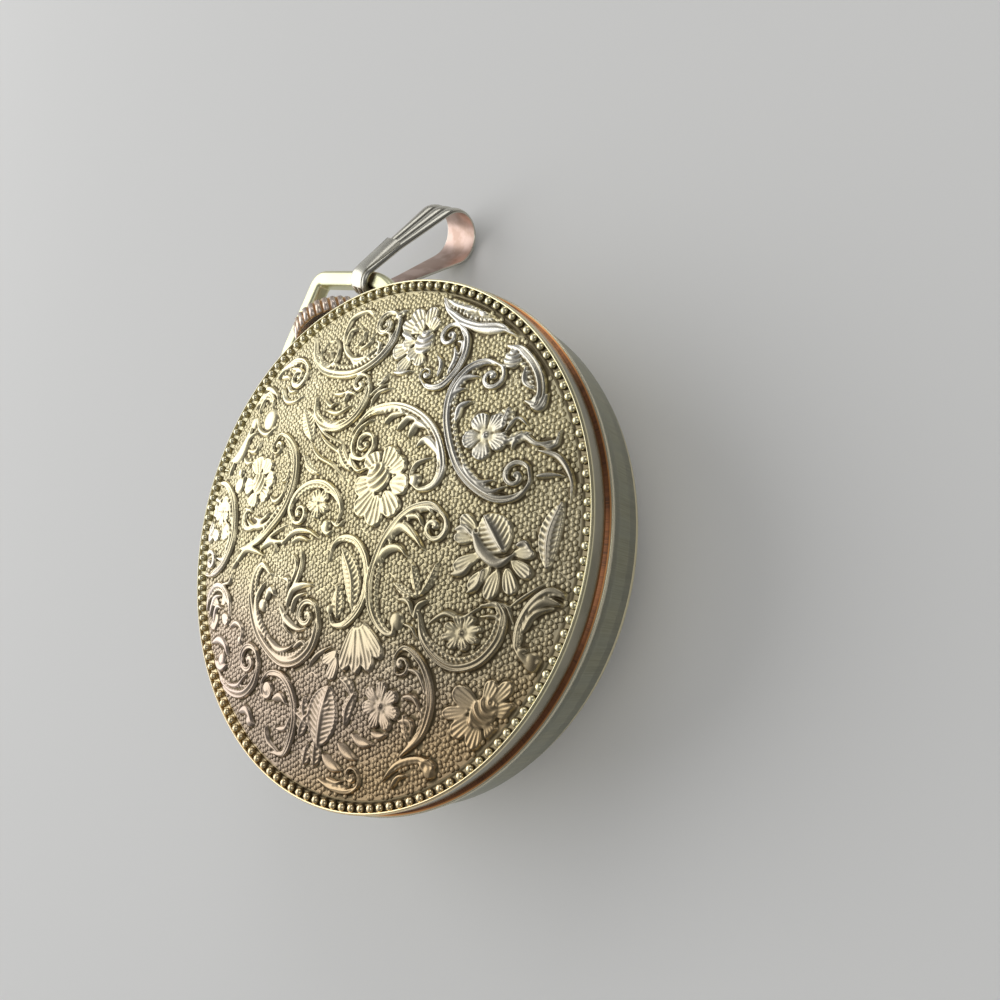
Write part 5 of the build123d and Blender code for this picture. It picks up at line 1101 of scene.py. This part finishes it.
goldBow = polished("bowGold", (0.74, 0.72, 0.46), (0.66, 0.65, 0.42), 0.3, 0.1, 900.0, 0.3)
goldBezel = polished("bezelGold", (0.84, 0.76, 0.50), (0.80, 0.72, 0.48), 0.16, 0.1)
slotFinish = {
    "case_gold": caseGold(),
    "bow_gold": goldBow,
    "crown_gold": goldBezel,
    "bail_gold": goldBow,
    "embossed_gold": rimGold,
    "crystal": clearCrystal(),
    "gasket": rubber("blackGasket", (0.02, 0.02, 0.02)),
    "dial_silver": silverDial(),
    "gilt_steel": polished("giltHands", (0.86, 0.66, 0.30), (0.90, 0.72, 0.38), 0.15, 0.06),
    "plate_nickel": stripedNickel(),
    "wheel_brass": polished("wheelBrass", (0.78, 0.60, 0.26), (0.84, 0.67, 0.32), 0.24, 0.12),
    "steel": polished("polishedSteel", (0.60, 0.60, 0.61), (0.70, 0.70, 0.70), 0.18, 0.1),
    "spring_steel": polished("springSteel", (0.20, 0.24, 0.34), (0.30, 0.34, 0.42), 0.25, 0.1),
    "ruby": rubyRed(),
    "ring_plastic": rubber("ringPlastic", (0.30, 0.29, 0.27)),
}
for node, piece in nodes.items():
    piece.data.materials.clear()
    piece.data.materials.append(goldBezel if node == "bezel" else slotFinish[slotOf[node]])


# the CAD piece's own shape, merged so that its round faces shade as round
def roundShaded(node, sharp=38.0):
    form = bmesh.new()
    form.from_mesh(nodes[node].data)
    bmesh.ops.remove_doubles(form, verts=form.verts, dist=1e-7)
    mesh = bpy.data.meshes.new(node + "_form")
    form.to_mesh(mesh)
    form.free()
    for old in nodes[node].data.materials:
        mesh.materials.append(old)
    mesh.shade_smooth()
    mesh.set_sharp_from_angle(angle=math.radians(sharp))
    piece = bpy.data.objects.new(node + "_form", mesh)
    bpy.context.scene.collection.objects.link(piece)
    standFor(node, piece)


ownShapes = {"back_cover", "bail", "crown"}
for node in sorted(nodes):
    if node not in ownShapes:
        roundShaded(node)
print("case, dial and movement finished")

# the crown: a smooth core with rounded ribs pressed round it, along +Y at the stem's height
crownSizes = {"Ribs": 32, "Rib": 0.29 * mm, "Ring": 2.99 * mm, "Length": 1.2 * mm, "Sides": 14}
crownPlace = {
    "axis": 7.75, "inner": 18.65, "ribMiddle": 19.255, "end": 20.5,  # millimetres up, and out from the middle
    "core": 3.06, "dome": 2.45, "bore": 1.55,  # radii
}


def crownGold():
    f = Finish("crownGold")
    place = f.place()
    x, _, z = f.millimetres(place)
    level = z - crownPlace["axis"]
    radius = (x * x + level * level).math("SQRT")
    tone = f.noise(place, 500.0, 3.0)
    grimy = f.ramp(radius, 3.24, 3.12) * f.ramp(radius, 2.97, 3.04)
    colour = f.mix(f.ramp(tone, 0.35, 0.7), (0.78, 0.67, 0.59), (0.82, 0.64, 0.48))
    colour = f.mix(grimy * 0.85, colour, (0.62, 0.36, 0.13))
    return f.surface(Base_Color=colour, Metallic=0.8, Roughness=0.26 + grimy * 0.25)


# from standing on z to lying along +Y
def onCrown(piece):
    raised = Matrix.Translation((0, 0, crownPlace["axis"] * mm))
    piece.data.transform(raised @ Matrix.Rotation(-turn / 4, 4, "X"))
    standFor("crown", piece)


def crownRibs(material):
    tree = Tree("crownRibs", crownSizes)
    ring = tree.node("GeometryNodeMeshCircle", {}, {
        "Vertices": tree.size("Ribs"), "Radius": tree.size("Ring")})
    rib = tree.node("GeometryNodeMeshCylinder", {}, {
        "Vertices": tree.size("Sides"), "Radius": tree.size("Rib"), "Depth": tree.size("Length")})
    spread = tree.node("GeometryNodeInstanceOnPoints", {}, {
        "Points": ring.outputs[0], "Instance": rib.outputs["Mesh"]})
    placed = tree.node("GeometryNodeTransform", {}, {
        "Geometry": spread.outputs[0], "Translation": (0, 0, crownPlace["ribMiddle"] * mm)})
    return tree.finish("crown_ribs", placed.outputs[0], material)


goldCrown = crownGold()
crownOutline = [
    (crownPlace["bore"], crownPlace["inner"]), (crownPlace["core"], crownPlace["inner"]),
    (crownPlace["core"], 19.86), (2.9, 20.08), (crownPlace["dome"], 20.36), (1.2, crownPlace["end"] - 0.03),
    (0, crownPlace["end"]), (0, 19.7), (crownPlace["bore"], 19.7),
]
onCrown(lathe("crown_core", rounded(crownOutline, 0.1), goldCrown, 128))
onCrown(crownRibs(goldCrown))
print("crown done")

# the bail: one reeded strip bent to a teardrop, with its plain clasp tab
bailSizes = {
    "length": 8.4, "neck": 0.95, "loop": 2.02, "strip": 0.33,  # from round to round, their radii, thickness
    "neckWidth": 2.0, "loopWidth": 3.4, "taperStart": 3.2, "reeds": 3, "flute": 0.15,
    "tabLength": 3.4, "tabWidth": 1.6, "tabEdge": 0.05, "tabLift": 0.30,
    "clearance": 0.08,  # of the folded loop over the table
}
bailJoint = next(j for j in frame["record"]["behaviour"]["joints"] if j["name"] == "bail_swing")
bailHinge = Vector(bailJoint["pos_m"]) / mm
bailZ = Vector(bailJoint["axis"])
bailFall = bailHinge.z - bailSizes["loop"] - bailSizes["strip"] - bailSizes["clearance"]
bailDrop = math.asin(bailFall / bailSizes["length"])
bailX = Vector((-bailZ.y * math.cos(bailDrop), bailZ.x * math.cos(bailDrop), -math.sin(bailDrop)))
bailY = bailZ.cross(bailX)


def bailPoint(x, y, z):
    return tuple(bailHinge + bailX * x + bailY * y + bailZ * z)


# places and outward directions round the hull of the two circles, in the bail's own plane
def teardropPath(neck, loop, steps=26):
    length = bailSizes["length"]
    top = turn / 4 + math.asin((loop - neck) / length)

    def onLeg(share, side):
        normal = (math.cos(top), side * math.sin(top))
        radius = neck + (loop - neck) * share
        return (neck * normal[0] + (length + (loop - neck) * normal[0]) * share, radius * normal[1]), normal

    def onArc(middle, radius, angle):
        normal = (math.cos(angle), math.sin(angle))
        return (middle + radius * normal[0], radius * normal[1]), normal

    shares = [k / steps for k in range(steps)]
    upper = [onLeg(t, 1) for t in shares]
    loopArc = [onArc(length, loop, top - 2 * top * t) for t in shares]
    lower = [onLeg(1 - t, -1) for t in shares]
    neckArc = [onArc(0, neck, -top - (turn - 2 * top) * t) for t in shares]
    return upper + loopArc + lower + neckArc


def bailGold():
    f = Finish("bailGold")
    place = f.place()
    inner = f.attribute("inner")
    groove = f.attribute("groove")
    tone = f.noise(place, 700.0, 3.0)
    colour = f.mix(f.ramp(tone, 0.35, 0.7), (0.60, 0.58, 0.50), (0.52, 0.50, 0.43))
    # painted shade in the grooves between the reeds
    colour = f.mix(groove, colour, (0.10, 0.08, 0.05))
    colour = f.mix(inner, colour, f.mix(f.ramp(tone, 0.4, 0.6), (0.44, 0.31, 0.25), (0.56, 0.42, 0.36)))
    return f.surface(Base_Color=colour, Metallic=1.0, Roughness=0.26 + groove * 0.2 + inner * 0.14)


def bailWidth(x):
    share = (x - bailSizes["taperStart"]) / (bailSizes["length"] - bailSizes["taperStart"])
    return bailSizes["neckWidth"] + (bailSizes["loopWidth"] - bailSizes["neckWidth"]) * min(max(share, 0), 1)


# (across from -1 to 1, height from 0 inside to 1 outside, painted groove shade) round the strip
def bailSection(count=31):
    depth = 1.6 * bailSizes["flute"] / bailSizes["strip"]
    outer = []
    for k in range(count):
        across = -1 + 2 * k / (count - 1)
        crest = abs(math.sin(math.pi * (across + 1) / 2 * bailSizes["reeds"])) ** 0.55
        outer.append((across * 0.985, 1 - depth * (1 - crest), max(0, 1 - crest * 1.8)))
    side = [(1.0, 0.35, 0), (0.985, 0.06, 0), (0.93, 0.0, 0)]
    return outer + side + [(0, 0.0, 0)] + [(-v, rise, dark) for v, rise, dark in reversed(side)]


def bailStrip(material):
    path = teardropPath(bailSizes["neck"], bailSizes["loop"])
    section = bailSection()
    points, inner, groove, faces = [], [], [], []
    for (px, py), (nx, ny) in path:
        half = bailWidth(px) / 2
        for v, rise, dark in section:
            reach = rise * bailSizes["strip"]
            points.append(bailPoint(px + nx * reach, py + ny * reach, v * half))
            inner.append(1.0 if rise < 0.05 else 0.0)
            groove.append(dark)
    count, around = len(path), len(section)
    for i in range(count):
        for j in range(around):
            a, b = i * around + j, i * around + (j + 1) % around
            c, d = ((i + 1) % count) * around + (j + 1) % around, ((i + 1) % count) * around + j
            faces.append((a, b, c, d))
    piece = newPiece("bail_strip", points, faces, material, sharp=50)
    for title, values in (("inner", inner), ("groove", groove)):
        made = piece.data.attributes.new(title, "FLOAT", "POINT")
        made.data.foreach_set("value", values)
    return piece


# the clasp tab on the upper leg, from a thin edge at the hinge to a thick lip
def bailTab(material):
    path = teardropPath(bailSizes["neck"] + bailSizes["strip"], bailSizes["loop"] + bailSizes["strip"])
    line = sorted(p for p in path if p[0][0] < bailSizes["tabLength"] and p[1][1] > 0)
    points, faces = [], []
    section = [(-1, 0.0), (-1, 0.7), (-0.82, 1.0), (0, 1.06), (0.82, 1.0), (1, 0.7), (1, 0.0)]
    first, last = line[0][0][0], line[-1][0][0]
    for (px, py), (nx, ny) in line:
        share = (px - first) / (last - first)
        half = bailSizes["tabWidth"] / 2 * (0.72 + 0.28 * share)
        thick = bailSizes["tabEdge"] + bailSizes["tabLift"] * share ** 0.8
        for v, rise in section:
            reach = thick * rise * 0.94 if rise > 0 else -0.04
            points.append(bailPoint(px + nx * reach, py + ny * reach, v * half))
    around, rows = len(section), len(line)
    for i in range(rows - 1):
        for j in range(around):
            a, b = i * around + j, i * around + (j + 1) % around
            faces.append((a, b, b + around, a + around))
    faces.append(tuple(range(around))[::-1])
    faces.append(tuple((rows - 1) * around + j for j in range(around)))
    return newPiece("bail_tab", points, faces, material, sharp=40)


goldBail = bailGold()
for piece in (bailStrip(goldBail), bailTab(goldBail)):
    form = bmesh.new()
    form.from_mesh(piece.data)
    bmesh.ops.recalc_face_normals(form, faces=form.faces)
    form.to_mesh(piece.data)
    form.free()
    standFor("bail", piece)
print("bail done")

# floor, light and camera
studio = {
    "floor": (0.80, 0.80, 0.79), "floorHalf": 330, "floorLevel": -0.02,
    "skySide": (-0.76, 0.46, 0.46), "skyEdge": 0.25,  # where metal sees a bright side, and how wide it is
    "skyLow": 0.16, "skyHigh": 0.95, "skyTint": (0.97, 0.98, 1.0, 1), "skyDiffuse": 0.40, "backdrop": 0.80,
    "lens": 28.13, "sensor": 36.0, "nearest": 0.002, "farthest": 20.0, "camera": (32.1, -23.0, 48.0),
    "right": (0.7671, -0.2835, -0.5757), "up": (0.4638, 0.8649, 0.1921), "back": (0.4435, -0.4143, 0.7948),
}
lamps = {
    # direction from the watch, distance, size in metres, watts
    "keyLamp": ((-0.70, 0.47, 0.54), 0.45, 0.56, 1.08),
    "fillLamp": ((0.60, -0.35, 0.72), 0.50, 0.30, 0.22),
    "backLamp": ((0.45, 0.80, 0.40), 0.50, 0.25, 0.22),
}


def layFloor():
    f = Finish("paleFloor")
    tone = f.noise(f.place(), 8.0, 3.0)
    colour = f.mix(tone, studio["floor"], tuple(c * 0.97 for c in studio["floor"]))
    pale = f.surface(Base_Color=colour, Roughness=0.8 + tone * 0.05, Specular_IOR_Level=0.1)
    half, level = studio["floorHalf"], studio["floorLevel"]
    corners = [(-half, -half, level), (half, -half, level), (half, half, level), (-half, half, level)]
    newPiece("floor", corners, [(0, 1, 2, 3)], pale, smooth=False)


# plain pale to the eye, a soft bright side at the upper left for the metal, and an even fill for the rest
def paintWorld():
    world = bpy.data.worlds.new("studioWorld")
    bpy.context.scene.world = world
    world.use_nodes = True
    tree = world.node_tree
    tree.nodes.clear()

    def made(kind, links=(), **values):
        node = tree.nodes.new(kind)
        for key, value in values.items():
            setattr(node, key, value)
        for socket, source in links:
            if isinstance(source, bpy.types.NodeSocket):
                tree.links.new(source, node.inputs[socket])
            else:
                node.inputs[socket].default_value = source
        return node

    place = made("ShaderNodeTexCoord")
    side = made("ShaderNodeVectorMath", [
        (0, place.outputs["Generated"]), (1, studio["skySide"])], operation="DOT_PRODUCT")
    glow = made("ShaderNodeMapRange", [
        ("Value", side.outputs["Value"]), ("From Min", studio["skyEdge"]), ("From Max", 1.0),
        ("To Min", studio["skyLow"]), ("To Max", studio["skyHigh"])], interpolation_type="SMOOTHSTEP")
    mirrored = made("ShaderNodeBackground", [("Color", studio["skyTint"]), ("Strength", glow.outputs[0])])
    soft = made("ShaderNodeBackground", [("Color", (1, 1, 1, 1)), ("Strength", studio["skyDiffuse"])])
    shown = made("ShaderNodeBackground", [("Color", (1, 1, 1, 1)), ("Strength", studio["backdrop"])])
    path = made("ShaderNodeLightPath")
    first = made("ShaderNodeMixShader", [
        (0, path.outputs["Is Glossy Ray"]), (1, soft.outputs[0]), (2, mirrored.outputs[0])])
    seen = made("ShaderNodeMath", [
        (0, path.outputs["Is Camera Ray"]), (1, path.outputs["Is Transmission Ray"])], operation="MAXIMUM")
    last = made("ShaderNodeMixShader", [(0, seen.outputs[0]), (1, first.outputs[0]), (2, shown.outputs[0])])
    made("ShaderNodeOutputWorld", [(0, last.outputs[0])])


def hangLamps():
    for name, (direction, distance, size, watts) in lamps.items():
        lamp = bpy.data.lights.new(name, "AREA")
        lamp.shape = "DISK"
        lamp.size = size
        lamp.energy = watts
        holder = bpy.data.objects.new(name, lamp)
        bpy.context.scene.collection.objects.link(holder)
        way = Vector(direction).normalized()
        holder.location = way * distance
        holder.rotation_euler = way.to_track_quat("Z", "Y").to_euler()
        holder.visible_camera = False


def standCamera():
    eye = bpy.data.cameras.new("camera")
    eye.lens = studio["lens"]
    eye.sensor_width = studio["sensor"]
    eye.clip_start = studio["nearest"]
    eye.clip_end = studio["farthest"]
    holder = bpy.data.objects.new("camera", eye)
    bpy.context.scene.collection.objects.link(holder)
    columns = [Vector(studio[key]).normalized() for key in ("right", "up", "back")]
    matrix = Matrix([[columns[c][r] for c in range(3)] for r in range(3)]).to_4x4()
    matrix.translation = Vector(studio["camera"]) * mm
    holder.matrix_world = matrix
    bpy.context.scene.camera = holder


layFloor()
paintWorld()
hangLamps()
standCamera()
bpy.context.scene.view_settings.view_transform = "Standard"
print("studio set")
